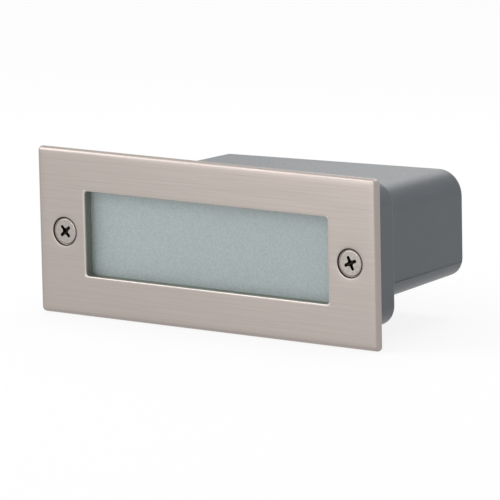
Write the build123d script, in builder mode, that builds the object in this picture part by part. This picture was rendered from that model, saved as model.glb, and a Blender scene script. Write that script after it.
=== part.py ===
from build123d import *
from math import radians, sqrt, tan
import os

os.makedirs("parts", exist_ok=True)

# A recessed step light for outdoor walls. Millimetres.
# Origin: centre of the faceplate, on the wall surface. +X right, +Y into the wall, +Z up.

# ---- Clearances and fits ----
free_gap = 0.3  # between pieces that move past each other
running_gap = 0.05  # radial, round a turning piece
loose_gap = 0.1  # beside a piece that is only laid in place

# ---- Faceplate: pressed stainless steel tray ----
plate_width = 170.0
plate_height = 70.0
plate_depth = 2.4  # from the wall to the front face
plate_sheet = 1.0
plate_corner = 2.0
plate_edge = 1.8  # rolled front edge
plate_overhang_end = 8.0  # plate beyond the housing collar, left and right
plate_overhang_side = 5.0  # the same, top and bottom
window_corner = 1.4

# ---- Cover screws: countersunk, cross recess ----
screw_head_dia = 10.6
screw_head_land = 0.3  # straight rim above the cone
screw_shank_dia = 5.4
screw_length = 18.0
screw_point = 3.0  # length of the tapered point
screw_point_dia = 2.2  # flat at the end of the point
screw_cross_span = 6.2
screw_cross_width = 1.5
screw_cross_depth = 2.2
screw_left_turn = 42.0  # how far each cross is turned, as left by the assembler
screw_right_turn = 24.0
dimple_dia = 12.2  # pressed countersink in the plate, at the front face
dimple_depth = 3.7  # from the front face to the back of the dimple
seal_thickness = 1.5  # rubber washer under each dimple
seal_width = 1.5
boss_to_outside = 5.5  # screw axis to the outside of the collar
boss_skin = 0.7  # outside of the boss to the outside of the collar

# ---- Housing: die-cast, a wide collar and a deeper body ----
wall = 2.2
draft = 1.05  # degrees, towards the back
collar_depth = 22.4
collar_corner_top = 10.0
collar_corner_bottom = 8.8
collar_back_edge = 1.3
gasket_thickness = 1.6  # rim gasket, squeezed
body_depth = 74.5
body_right_step = 0.3  # body set in from the collar at the right end
body_bottom_step = 10.4  # body above the collar's bottom
body_top_step = 2.3  # body below the collar's top, at the right end
body_top_fall = 1.3  # degrees that the body's top falls towards the left
body_corner_top = 10.4
body_corner_bottom = 8.4
body_back_edge = 0.7
gland_pocket = 25.0  # body set in from the collar at the left end, for the cable gland
groove_height = 18.6  # flank groove above the collar's bottom
groove_width = 0.9
groove_depth = 0.35

# ---- Wall fixing holes in the back of the housing ----
fixing_spacing = 90.0
fixing_dia = 4.8
fixing_rim_dia = 10.0
fixing_rim_height = 1.6

# ---- Glass, its gasket and its clips ----
glass_thickness = 4.0
glass_overlap = 2.2  # glass behind the edge of the window
glass_edge = 0.4  # ground edge
glass_setback = 3.6  # glass behind the plate's sheet
gasket_wall = 1.2  # glass gasket, round the edge of the glass
gasket_lip = 1.2  # glass gasket, behind the glass
gasket_to_dimple = 0.7  # glass gasket to the back of the dimple
clip_sheet = 0.8
clip_width = 11.0
clip_bend = 0.7  # outside radius of the bend over the gasket
clip_reach = 3.4  # clip over the back of the gasket
clip_spacing = 84.0
stud_dia = 2.5
stud_length = 4.0
nut_flats = 5.0
nut_height = 2.0
nut_to_wall = 0.6

# ---- Gear tray, reflector and LED board ----
tray_sheet = 1.2
tray_screw_margin_x = 6.4  # from the ends of the tray
tray_screw_margin_z = 5.3
tray_screw_dia = 3.0
tray_screw_head_dia = 5.6
tray_screw_head_height = 1.6
round_head_edge = 0.5  # bevel of a small round head
block_head_edge = 0.4
tray_screw_bite = 3.6  # thread beyond the tray
tray_boss_dia = 6.6
tray_boss_height = 3.0
tray_lug_depth = 9.0
board_length = 108.0
board_height = 27.0
board_sheet = 1.2
board_cover = 1.6  # reflector over the edge of the board
led_columns = 12
led_rows = 2
led_pitch_x = 8.4
led_pitch_z = 10.0
led_length = 3.5
led_width = 2.8
led_height = 0.7
reflector_sheet = 1.2
reflector_flare = 5.0  # front of the reflector wider than its back, each side
reflector_front_gap = 0.9  # reflector behind the clips
reflector_lip = 1.6

# ---- LED driver ----
driver_length = 48.0
driver_height = 27.0
driver_depth = 19.0
driver_corner = 2.4
driver_lid_edge = 1.0
driver_lid_height = 4.8
driver_ear = 6.5
driver_ear_sheet = 2.0
driver_screw_dia = 3.0
driver_seam_width = 0.8
driver_seam_depth = 0.5

# ---- Terminal block, three poles ----
poles = 3
pole_pitch = 8.0
block_width = 17.0
block_base = 9.0  # height of the wire deck above the tray
block_rib_height = 4.5
block_skin = 1.5  # plastic beside the end poles
cage_size = 5.6
cage_length = 13.0
cage_lift = 1.8  # cage above the tray
cage_skin = 0.9  # brass beyond each clamp screw
wire_hole_dia = 3.0
well_dia = 3.8
clamp_screw_dia = 3.4
clamp_screw_length = 3.0
clamp_slot_width = 0.7
clamp_slot_depth = 0.9
block_screw_dia = 2.4
block_screw_head_dia = 3.8
block_screw_head_height = 1.5

# ---- Along the deep body: shares of the length that the block and the driver leave free ----
share_before_block = 0.17
share_between = 0.45  # between the block and the driver

# ---- Leads ----
mains_lead_dia = 2.0
led_lead_dia = 1.4
lead_in_cage = 4.0
led_lead_spacing = 4.0
led_lead_bend = 3.0
earth_stub = 1.4
earth_lead_bend = 2.2
lead_hole_to_ear = 2.0  # holes for the LED leads, beside the driver's ear
driver_wire_height = 10.0  # mains leads enter the driver, above the tray
led_wire_height = 5.2  # LED leads leave it
solder_dia = 2.4
solder_height = 0.5
solder_slope = 30.0  # degrees

# ---- Earth connection on the tray ----
earth_screw_dia = 4.0
earth_head_dia = 7.0
earth_head_height = 2.4
tag_ring_dia = 8.0
tag_sheet = 0.8
tag_barrel_dia = 3.4
tag_barrel_length = 3.0
tag_reach = 7.5

# ---- Cable gland ----
gland_thread_dia = 16.0
gland_bore_dia = 9.4
gland_flats = 20.0
gland_hex_width = 5.0
hex_chamfer = 0.6
gland_spigot_dia = 14.6
gland_spigot_length = 8.0
spigot_wall = 1.35  # beside the seal
gland_inner_length = 10.5
gland_washer_thickness = 1.2
gland_pad_height = 0.8
gland_pad_dia = 24.0
locknut_flats = 20.0
locknut_width = 4.0
nut_skirt_length = 9.0
nut_dome_length = 6.5
dome_turn = 38.0  # degrees that the dome's arc turns
nut_mouth_wall = 2.0
gland_mouth_dia = 8.6
cable_dia = 7.0
cable_gap = 0.15  # radial, between the cable and the open seal
seal_length = 9.0
seal_proud = 2.0  # seal beyond the spigot

# ==== Places worked out from the sizes above ====
boss_radius = boss_to_outside - boss_skin
plate_front = -plate_depth
sheet_back = plate_front + plate_sheet
rim_front = sheet_back + gasket_thickness  # front edge of the housing

collar_half_width = plate_width / 2 - plate_overhang_end
collar_half_height = plate_height / 2 - plate_overhang_side
collar_floor = collar_depth - wall  # inner face of the collar's back wall
screw_x = collar_half_width - boss_to_outside

# From the collar's top inwards: wall, clip nut, clip, gasket, glass, window.
stud_z = collar_half_height - wall - nut_to_wall - nut_flats / 2
clip_outer_z = stud_z - nut_flats / 2 - loose_gap
gasket_half_height = clip_outer_z - clip_sheet - loose_gap
glass_half_height = gasket_half_height - gasket_wall
window_half_height = glass_half_height - glass_overlap

# From the cover screw inwards: dimple, gasket, glass, window.
dimple_back_radius = dimple_dia / 2 + plate_sheet * (sqrt(2) - 1)
gasket_half_width = screw_x - dimple_back_radius - gasket_to_dimple
glass_half_width = gasket_half_width - gasket_wall
window_half_width = glass_half_width - glass_overlap

glass_front = sheet_back + glass_setback
glass_back = glass_front + glass_thickness
gasket_back = glass_back + gasket_lip
clip_back = gasket_back + clip_sheet

body_right = collar_half_width - body_right_step
body_left = -collar_half_width + gland_pocket
body_bottom = -collar_half_height + body_bottom_step
body_top = collar_half_height - body_top_step
body_floor = body_depth - wall  # inner face of the back wall
body_mid_x = (body_left + body_right) / 2
body_mid_z = (body_bottom + body_top) / 2

tray_back = collar_floor - tray_boss_height
tray_front = tray_back - tray_sheet
board_front = tray_front - board_sheet
reflector_front = clip_back + reflector_front_gap
tray_half_width = screw_x - boss_radius - free_gap
tray_half_height = collar_half_height - wall - 2 * free_gap - collar_floor * tan(radians(draft))
tray_corner = collar_corner_top - wall
tray_screw_x = tray_half_width - tray_screw_margin_x
tray_screw_z = tray_half_height - tray_screw_margin_z

free_length = body_right - body_left - block_width - driver_length
block_left = body_left + share_before_block * free_length
block_right = block_left + block_width
lead_gap = share_between * free_length
driver_left = block_right + lead_gap
driver_right = driver_left + driver_length
driver_mid_x = (driver_left + driver_right) / 2
driver_back = tray_back + driver_depth

block_mid_x = (block_left + block_right) / 2
block_half_height = poles * pole_pitch / 2 + block_skin
cage_mid_y = tray_back + cage_lift + cage_size / 2
driver_wire_y = tray_back + driver_wire_height
led_wire_y = tray_back + led_wire_height
led_lead_z = body_mid_z - pole_pitch / 2
earth_z = body_mid_z + (poles - 1) / 2 * pole_pitch

lead_hole_x = driver_left - driver_ear - lead_hole_to_ear
gland_y = (collar_depth + body_depth) / 2
gland_z = body_mid_z


# ==== Planes that the pieces are drawn on ====
def wall_plane(depth):
    """A plane parallel to the wall, depth mm into it. Its x is X and its y is Z."""
    return Plane.XZ.offset(-depth)


def end_plane(x):
    """A plane facing along X. Its x is Y and its y is Z."""
    return Plane.YZ.offset(x)


def screw_plane(x, z=0.0):
    """A plane through an axis that runs into the wall. Its x is the radius and its y is Y."""
    return Plane(origin=(x, 0, z), x_dir=(1, 0, 0), z_dir=(0, 0, 1))


def wall_axis(x, z=0.0):
    """An axis that runs straight into the wall."""
    return Axis((x, 0, z), (0, 1, 0))


# ==== Faceplate ====
with BuildPart() as faceplate:
    with BuildSketch(wall_plane(plate_front)):
        RectangleRounded(plate_width, plate_height, plate_corner)
    extrude(amount=-plate_depth)
    fillet(faceplate.faces().sort_by(Axis.Y)[0].edges(), plate_edge)
    # hollow behind the sheet
    with BuildSketch(wall_plane(sheet_back)):
        RectangleRounded(
            plate_width - 2 * plate_sheet,
            plate_height - 2 * plate_sheet,
            plate_corner - plate_sheet,
        )
    extrude(amount=sheet_back, mode=Mode.SUBTRACT)
    # dimples pressed back round the cover screws
    for side in (-1, 1):
        with BuildSketch(screw_plane(side * screw_x)):
            with BuildLine():
                Polyline(
                    (0, sheet_back),
                    (dimple_back_radius, sheet_back),
                    (dimple_back_radius + plate_sheet - dimple_depth, plate_front + dimple_depth),
                    (0, plate_front + dimple_depth),
                    close=True,
                )
            make_face()
        revolve(axis=wall_axis(side * screw_x))
        with BuildSketch(screw_plane(side * screw_x)):
            with BuildLine():
                Polyline(
                    (0, plate_front),
                    (dimple_dia / 2, plate_front),
                    (0, plate_front + dimple_dia / 2),
                    close=True,
                )
            make_face()
        revolve(axis=wall_axis(side * screw_x), mode=Mode.SUBTRACT)
    with BuildSketch(wall_plane(plate_front)):
        with GridLocations(2 * screw_x, 0, 2, 1):
            Circle(screw_shank_dia / 2 + running_gap)
        RectangleRounded(2 * window_half_width, 2 * window_half_height, window_corner)
    extrude(amount=-2 * dimple_depth, mode=Mode.SUBTRACT)
    # weld studs for the glass clips
    with BuildSketch(wall_plane(sheet_back)):
        with GridLocations(clip_spacing, 2 * stud_z, 2, 2):
            Circle(stud_dia / 2)
    extrude(amount=-stud_length)
faceplate.part.label = "faceplate"
export_step(faceplate.part, "parts/faceplate.step")


# ==== Cover screws ====
screw_top = plate_front + (dimple_dia - screw_head_dia) / 2 - running_gap - screw_head_land
screw_cone_front = screw_top + screw_head_land
screw_cone_back = screw_cone_front + (screw_head_dia - screw_shank_dia) / 2
screw_tip = screw_top + screw_length


def make_cover_screw(x, turn):
    """One countersunk screw on the axis at x, with its cross turned by turn degrees."""
    with BuildPart() as screw:
        with BuildSketch(screw_plane(x)):
            with BuildLine():
                Polyline(
                    (0, screw_top),
                    (screw_head_dia / 2, screw_top),
                    (screw_head_dia / 2, screw_cone_front),
                    (screw_shank_dia / 2, screw_cone_back),
                    (screw_shank_dia / 2, screw_tip - screw_point),
                    (screw_point_dia / 2, screw_tip),
                    (0, screw_tip),
                    close=True,
                )
            make_face()
        revolve(axis=wall_axis(x))
        with BuildSketch(wall_plane(screw_top)):
            with Locations((x, 0)):
                Rectangle(screw_cross_span, screw_cross_width, rotation=turn)
                Rectangle(screw_cross_width, screw_cross_span, rotation=turn)
        extrude(amount=-screw_cross_depth, mode=Mode.SUBTRACT)
    return screw.part


cover_screw_left = make_cover_screw(-screw_x, screw_left_turn)
cover_screw_left.label = "cover_screw_left"
export_step(cover_screw_left, "parts/cover_screw_left.step")

cover_screw_right = make_cover_screw(screw_x, screw_right_turn)
cover_screw_right.label = "cover_screw_right"
export_step(cover_screw_right, "parts/cover_screw_right.step")

# rubber washers behind the dimples, round the screw shanks
seal_front = plate_front + dimple_depth
seal_hole_radius = screw_shank_dia / 2 + running_gap
boss_front = seal_front + seal_thickness + free_gap
with BuildPart() as screw_seals:
    with BuildSketch(wall_plane(seal_front)):
        with GridLocations(2 * screw_x, 0, 2, 1):
            Circle(seal_hole_radius + seal_width)
            Circle(seal_hole_radius, mode=Mode.SUBTRACT)
    extrude(amount=-seal_thickness)
screw_seals.part.label = "screw_seals"
export_step(screw_seals.part, "parts/screw_seals.step")


# ==== Glass, U-section gasket, clips and nuts ====
with BuildPart() as diffuser_glass:
    with BuildSketch(wall_plane(glass_front)):
        RectangleRounded(2 * glass_half_width, 2 * glass_half_height, window_corner)
    extrude(amount=-glass_thickness)
    glass_faces = diffuser_glass.faces().sort_by(Axis.Y)
    chamfer(glass_faces[0].edges() + glass_faces[-1].edges(), glass_edge)
diffuser_glass.part.label = "diffuser_glass"
export_step(diffuser_glass.part, "parts/diffuser_glass.step")

with BuildPart() as glass_gasket:
    with BuildSketch(wall_plane(sheet_back)):
        RectangleRounded(2 * gasket_half_width, 2 * gasket_half_height, window_corner)
    extrude(amount=sheet_back - gasket_back)
    with BuildSketch(wall_plane(glass_front)):
        RectangleRounded(2 * glass_half_width, 2 * glass_half_height, window_corner)
    extrude(amount=-glass_thickness, mode=Mode.SUBTRACT)
    with BuildSketch(wall_plane(sheet_back)):
        RectangleRounded(
            2 * (window_half_width + loose_gap),
            2 * (window_half_height + loose_gap),
            window_corner,
        )
    extrude(amount=sheet_back - gasket_back, mode=Mode.SUBTRACT)
glass_gasket.part.label = "glass_gasket"
export_step(glass_gasket.part, "parts/glass_gasket.step")

with BuildPart() as glass_clips:
    for side in (-1, 1):
        for x in (-clip_spacing / 2, clip_spacing / 2):
            # section of the bent strip, from its foot on the plate to its finger over the gasket
            with BuildSketch(end_plane(x - clip_width / 2)):
                with BuildLine():
                    Polyline(
                        (sheet_back, side * (stud_z + nut_flats / 2)),
                        (sheet_back, side * (clip_outer_z - clip_sheet)),
                        (gasket_back, side * (clip_outer_z - clip_sheet)),
                        (gasket_back, side * (clip_outer_z - clip_sheet - clip_reach)),
                        (clip_back, side * (clip_outer_z - clip_sheet - clip_reach)),
                        (clip_back, side * clip_outer_z),
                        (sheet_back + clip_sheet, side * clip_outer_z),
                        (sheet_back + clip_sheet, side * (stud_z + nut_flats / 2)),
                        close=True,
                    )
                make_face()
            extrude(amount=clip_width)
    bends = glass_clips.edges().filter_by(Axis.X).filter_by_position(
        Axis.Y, clip_back - loose_gap, clip_back + loose_gap
    )
    fillet(bends.group_by(Axis.Z)[0] + bends.group_by(Axis.Z)[-1], clip_bend)
    with BuildSketch(wall_plane(sheet_back)):
        with GridLocations(clip_spacing, 2 * stud_z, 2, 2):
            Circle(stud_dia / 2 + loose_gap)
    extrude(amount=-2 * clip_sheet, mode=Mode.SUBTRACT)
glass_clips.part.label = "glass_clips"
export_step(glass_clips.part, "parts/glass_clips.step")

with BuildPart() as clip_nuts:
    with BuildSketch(wall_plane(sheet_back + clip_sheet)):
        with GridLocations(clip_spacing, 2 * stud_z, 2, 2):
            RegularPolygon(nut_flats / 2, 6, major_radius=False)
            Circle(stud_dia / 2 + running_gap, mode=Mode.SUBTRACT)
    extrude(amount=-nut_height)
clip_nuts.part.label = "clip_nuts"
export_step(clip_nuts.part, "parts/clip_nuts.step")


# ==== Housing ====
def collar_section(depth, inset):
    """Section of the collar at a depth, drawn inset from its outside, narrowing with the draft."""
    shrink = inset + (depth - rim_front) * tan(radians(draft))
    with BuildSketch(wall_plane(depth)) as section:
        Rectangle(2 * (collar_half_width - shrink), 2 * (collar_half_height - shrink))
        fillet(section.vertices().sort_by(Axis.Y)[:2], max(collar_corner_bottom - inset, wall / 2))
        fillet(section.vertices().sort_by(Axis.Y)[-2:], max(collar_corner_top - inset, wall / 2))
    return section.sketch


def body_section(depth, inset):
    """Section of the deep body at a depth: round corners, and a top that falls to the left."""
    shrink = inset + (depth - rim_front) * tan(radians(draft))
    left = body_left + shrink
    right = body_right - shrink
    bottom = body_bottom + shrink
    top = body_top - shrink
    fall = (right - left) * tan(radians(body_top_fall))
    with BuildSketch(wall_plane(depth)) as section:
        with BuildLine():
            Polyline((left, bottom), (right, bottom), (right, top), (left, top - fall), close=True)
        make_face()
        fillet(section.vertices().sort_by(Axis.Y)[:2], max(body_corner_bottom - inset, wall / 2))
        fillet(section.vertices().sort_by(Axis.Y)[-2:], max(body_corner_top - inset, wall / 2))
    return section.sketch


def flank_groove(depth):
    """Section of the groove on the right flank of the deep body, at a depth."""
    flank = body_right - (depth - rim_front) * tan(radians(draft))
    with BuildSketch(wall_plane(depth)) as section:
        with Locations((flank, -collar_half_height + groove_height)):
            Rectangle(2 * groove_depth, groove_width)
    return section.sketch


def dimple_relief(side):
    """Profile of the seat that takes the plate's dimple and the seal washer, at one end."""
    wide = dimple_back_radius + sqrt(2) * free_gap
    narrow = seal_hole_radius + seal_width + free_gap
    with BuildSketch(screw_plane(side * screw_x)) as profile:
        with BuildLine():
            Polyline(
                (0, sheet_back),
                (wide, sheet_back),
                (narrow, sheet_back + wide - narrow),
                (narrow, boss_front),
                (0, boss_front),
                close=True,
            )
        make_face()
    return profile.sketch


body_start = collar_depth / 2  # the body's section begins inside the collar
lug_size = tray_boss_dia
lug_top = body_top - wall
lug_bottom = tray_screw_z - lug_size / 2

with BuildPart() as housing:
    loft([collar_section(rim_front, 0), collar_section(collar_depth, 0)])
    fillet(housing.faces().sort_by(Axis.Y)[-1].edges(), collar_back_edge)
    loft([body_section(body_start, 0), body_section(body_depth, 0)])
    fillet(housing.faces().sort_by(Axis.Y)[-1].edges(), body_back_edge)
    loft([flank_groove(collar_depth), flank_groove(body_depth)], mode=Mode.SUBTRACT)
    # flat pad for the gland washer on the left end
    with BuildSketch(end_plane(body_left - gland_pad_height)):
        with Locations((gland_y, gland_z)):
            Circle(gland_pad_dia / 2)
    extrude(amount=gland_pad_height + wall)
    # insides of the collar and of the body
    loft([collar_section(rim_front, wall), collar_section(collar_floor, wall)], mode=Mode.SUBTRACT)
    loft([body_section(body_start, wall), body_section(body_floor, wall)], mode=Mode.SUBTRACT)
    # bosses for the cover screws, one at each end of the collar
    with BuildSketch(wall_plane(boss_front)):
        with GridLocations(2 * screw_x, 0, 2, 1):
            Circle(boss_radius)
    extrude(amount=boss_front - collar_floor - wall / 2)
    # bosses for the tray, and a lug where the body's mouth leaves no wall behind the tray
    with BuildSketch(wall_plane(tray_back)):
        with GridLocations(2 * tray_screw_x, 2 * tray_screw_z, 2, 2):
            Circle(tray_boss_dia / 2)
    extrude(amount=-tray_boss_height - wall / 2)
    with BuildSketch(wall_plane(tray_back)):
        with Locations((tray_screw_x, (lug_bottom + lug_top) / 2)):
            Rectangle(lug_size, lug_top - lug_bottom)
    extrude(amount=-tray_lug_depth)
    with BuildSketch(wall_plane(tray_back)):
        with GridLocations(2 * tray_screw_x, 2 * tray_screw_z, 2, 2):
            Circle(tray_screw_dia / 2 + running_gap)
    extrude(amount=-tray_screw_bite - loose_gap, mode=Mode.SUBTRACT)
    with BuildSketch(wall_plane(boss_front)):
        with GridLocations(2 * screw_x, 0, 2, 1):
            Circle(screw_shank_dia / 2 + running_gap)
    extrude(amount=boss_front - screw_tip - loose_gap, mode=Mode.SUBTRACT)
    # seats for the dimples and the seal washers
    for side in (-1, 1):
        revolve(dimple_relief(side), axis=wall_axis(side * screw_x), mode=Mode.SUBTRACT)
    # raised rims and holes for the wall fixing screws
    with BuildSketch(wall_plane(body_floor - fixing_rim_height)):
        with Locations((body_mid_x, body_mid_z)):
            with GridLocations(fixing_spacing, 0, 2, 1):
                Circle(fixing_rim_dia / 2)
    extrude(amount=-fixing_rim_height - wall / 2)
    with BuildSketch(wall_plane(body_floor - fixing_rim_height)):
        with Locations((body_mid_x, body_mid_z)):
            with GridLocations(fixing_spacing, 0, 2, 1):
                Circle(fixing_dia / 2)
    extrude(amount=-fixing_rim_height - 2 * wall, mode=Mode.SUBTRACT)
    # thread hole for the gland
    with BuildSketch(end_plane(body_left - 2 * gland_pad_height)):
        with Locations((gland_y, gland_z)):
            Circle(gland_thread_dia / 2 + loose_gap)
    extrude(amount=2 * gland_pad_height + 3 * wall, mode=Mode.SUBTRACT)
housing.part.label = "housing"
export_step(housing.part, "parts/housing.step")

# two strips along the rim, parted by the dimples at the ends
with BuildPart() as rim_gasket:
    extrude(collar_section(rim_front, loose_gap), amount=gasket_thickness)
    extrude(collar_section(rim_front, wall - loose_gap), amount=gasket_thickness, mode=Mode.SUBTRACT)
    for side in (-1, 1):
        revolve(dimple_relief(side), axis=wall_axis(side * screw_x), mode=Mode.SUBTRACT)
rim_gasket.part.label = "rim_gasket"
export_step(rim_gasket.part, "parts/rim_gasket.step")


# ==== Gear tray, LED board and reflector ====
lead_spots = [
    (lead_hole_x, led_lead_z + led_lead_spacing / 2),
    (lead_hole_x, led_lead_z - led_lead_spacing / 2),
]
driver_screw_x = driver_length / 2 + driver_ear / 2

with BuildPart() as gear_tray:
    with BuildSketch(wall_plane(tray_front)):
        RectangleRounded(2 * tray_half_width, 2 * tray_half_height, tray_corner)
        with GridLocations(2 * tray_screw_x, 2 * tray_screw_z, 2, 2):
            Circle(tray_screw_dia / 2 + loose_gap, mode=Mode.SUBTRACT)
        with Locations(*lead_spots):
            Circle(led_lead_dia / 2 + loose_gap, mode=Mode.SUBTRACT)
        with Locations((driver_mid_x, body_mid_z)):
            with GridLocations(2 * driver_screw_x, 0, 2, 1):
                Circle(driver_screw_dia / 2 + running_gap, mode=Mode.SUBTRACT)
        with Locations((block_mid_x, body_mid_z)):
            with GridLocations(0, pole_pitch, 1, 2):
                Circle(block_screw_dia / 2 + running_gap, mode=Mode.SUBTRACT)
        with Locations((lead_hole_x, earth_z)):
            Circle(earth_screw_dia / 2 + running_gap, mode=Mode.SUBTRACT)
    extrude(amount=-tray_sheet)
gear_tray.part.label = "gear_tray"
export_step(gear_tray.part, "parts/gear_tray.step")

with BuildPart() as led_board:
    with BuildSketch(wall_plane(board_front)):
        Rectangle(board_length, board_height)
        with Locations(*lead_spots):
            Circle(led_lead_dia / 2 + loose_gap, mode=Mode.SUBTRACT)
    extrude(amount=-board_sheet)
led_board.part.label = "led_board"
export_step(led_board.part, "parts/led_board.step")

with BuildPart() as led_emitters:
    with BuildSketch(wall_plane(board_front)):
        with GridLocations(led_pitch_x, led_pitch_z, led_columns, led_rows):
            Rectangle(led_length, led_width)
    extrude(amount=led_height)
led_emitters.part.label = "led_emitters"
export_step(led_emitters.part, "parts/led_emitters.step")

with BuildPart() as solder_joints:
    with BuildSketch(wall_plane(board_front)):
        with Locations(*lead_spots):
            Circle(solder_dia / 2)
    extrude(amount=solder_height, taper=solder_slope)
solder_joints.part.label = "solder_joints"
export_step(solder_joints.part, "parts/solder_joints.step")

reflector_base_front = board_front - reflector_sheet
well_half_width = board_length / 2 - board_cover
well_half_height = board_height / 2 - board_cover


def reflector_section(depth, grow):
    """Section of the flared light well at a depth, drawn grow larger than its inside."""
    flare = reflector_flare * (reflector_base_front - depth) / (reflector_base_front - reflector_front)
    half_width = well_half_width + flare + grow
    half_height = well_half_height + flare + grow
    with BuildSketch(wall_plane(depth)) as section:
        RectangleRounded(2 * half_width, 2 * half_height, window_corner + grow)
    return section.sketch


with BuildPart() as reflector:
    with BuildSketch(wall_plane(reflector_base_front)):
        RectangleRounded(2 * tray_half_width, 2 * tray_half_height, tray_corner)
    extrude(amount=reflector_base_front - tray_front)
    loft(
        [
            reflector_section(reflector_base_front, reflector_sheet),
            reflector_section(reflector_front, reflector_sheet),
        ]
    )
    extrude(reflector_section(reflector_front, reflector_sheet + reflector_lip), amount=-reflector_sheet / 2)
    loft(
        [reflector_section(reflector_base_front, 0), reflector_section(reflector_front, 0)],
        mode=Mode.SUBTRACT,
    )
    extrude(reflector_section(reflector_base_front, 0), amount=-reflector_sheet, mode=Mode.SUBTRACT)
    # pocket that holds the board down on the tray
    with BuildSketch(wall_plane(board_front)):
        Rectangle(board_length + 2 * loose_gap, board_height + 2 * loose_gap)
    extrude(amount=-board_sheet, mode=Mode.SUBTRACT)
    with BuildSketch(wall_plane(reflector_base_front)):
        with GridLocations(2 * tray_screw_x, 2 * tray_screw_z, 2, 2):
            Circle(tray_screw_dia / 2 + loose_gap)
    extrude(amount=reflector_base_front - tray_front, mode=Mode.SUBTRACT)
reflector.part.label = "reflector"
export_step(reflector.part, "parts/reflector.step")

with BuildPart() as tray_screws:
    with BuildSketch(wall_plane(reflector_base_front)):
        with GridLocations(2 * tray_screw_x, 2 * tray_screw_z, 2, 2):
            Circle(tray_screw_head_dia / 2)
    extrude(amount=tray_screw_head_height)
    chamfer(tray_screws.faces().group_by(Axis.Y)[0].edges(), round_head_edge)
    with BuildSketch(wall_plane(reflector_base_front)):
        with GridLocations(2 * tray_screw_x, 2 * tray_screw_z, 2, 2):
            Circle(tray_screw_dia / 2)
    extrude(amount=reflector_base_front - tray_back - tray_screw_bite)
tray_screws.part.label = "tray_screws"
export_step(tray_screws.part, "parts/tray_screws.step")


# ==== LED driver on the back of the tray ====
with BuildPart() as led_driver:
    with BuildSketch(wall_plane(tray_back)):
        with Locations((driver_mid_x, body_mid_z)):
            RectangleRounded(driver_length, driver_height, driver_corner)
    extrude(amount=-driver_depth)
    fillet(led_driver.faces().sort_by(Axis.Y)[-1].edges(), driver_lid_edge)
    # seam between case and lid
    seam_y = driver_back - driver_lid_height
    with BuildSketch(wall_plane(seam_y)):
        with Locations((driver_mid_x, body_mid_z)):
            RectangleRounded(driver_length, driver_height, driver_corner)
            RectangleRounded(
                driver_length - 2 * driver_seam_depth,
                driver_height - 2 * driver_seam_depth,
                driver_corner - driver_seam_depth,
                mode=Mode.SUBTRACT,
            )
    extrude(amount=-driver_seam_width, mode=Mode.SUBTRACT)
    # fixing ears at both ends
    with BuildSketch(wall_plane(tray_back)):
        with Locations((driver_mid_x, body_mid_z)):
            SlotCenterToCenter(2 * driver_screw_x, driver_ear)
            with GridLocations(2 * driver_screw_x, 0, 2, 1):
                Circle(driver_screw_dia / 2 + loose_gap, mode=Mode.SUBTRACT)
    extrude(amount=-driver_ear_sheet)
led_driver.part.label = "led_driver"
export_step(led_driver.part, "parts/led_driver.step")


def make_pan_screws(places, seat, head_dia, head_height, head_edge, shank_dia, tip):
    """Round-headed screws driven from behind: heads on seat, tips towards the front."""
    with BuildPart() as screws:
        with BuildSketch(wall_plane(seat)):
            with Locations(*places):
                Circle(head_dia / 2)
        extrude(amount=-head_height)
        chamfer(screws.faces().group_by(Axis.Y)[-1].edges(), head_edge)
        with BuildSketch(wall_plane(seat)):
            with Locations(*places):
                Circle(shank_dia / 2)
        extrude(amount=seat - tip)
        with BuildSketch(wall_plane(seat + head_height)):
            with Locations(*places):
                Rectangle(head_dia, clamp_slot_width)
        extrude(amount=head_height / 2, mode=Mode.SUBTRACT)
    return screws.part


driver_screws = make_pan_screws(
    [(driver_mid_x - driver_screw_x, body_mid_z), (driver_mid_x + driver_screw_x, body_mid_z)],
    tray_back + driver_ear_sheet,
    tray_screw_head_dia,
    tray_screw_head_height,
    round_head_edge,
    driver_screw_dia,
    tray_front + loose_gap,
)
driver_screws.label = "driver_screws"
export_step(driver_screws, "parts/driver_screws.step")


# ==== Terminal block ====
pole_spots = [body_mid_z + (i - (poles - 1) / 2) * pole_pitch for i in range(poles)]
rib_spots = [body_mid_z + (i - poles / 2) * pole_pitch for i in range(poles + 1)]
block_screw_spots = [(block_mid_x, body_mid_z - pole_pitch / 2), (block_mid_x, body_mid_z + pole_pitch / 2)]
clamp_offset = cage_length / 2 - clamp_screw_dia / 2 - cage_skin
deck_back = tray_back + block_base
clamp_bottom = cage_mid_y + mains_lead_dia / 2 + running_gap

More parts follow.
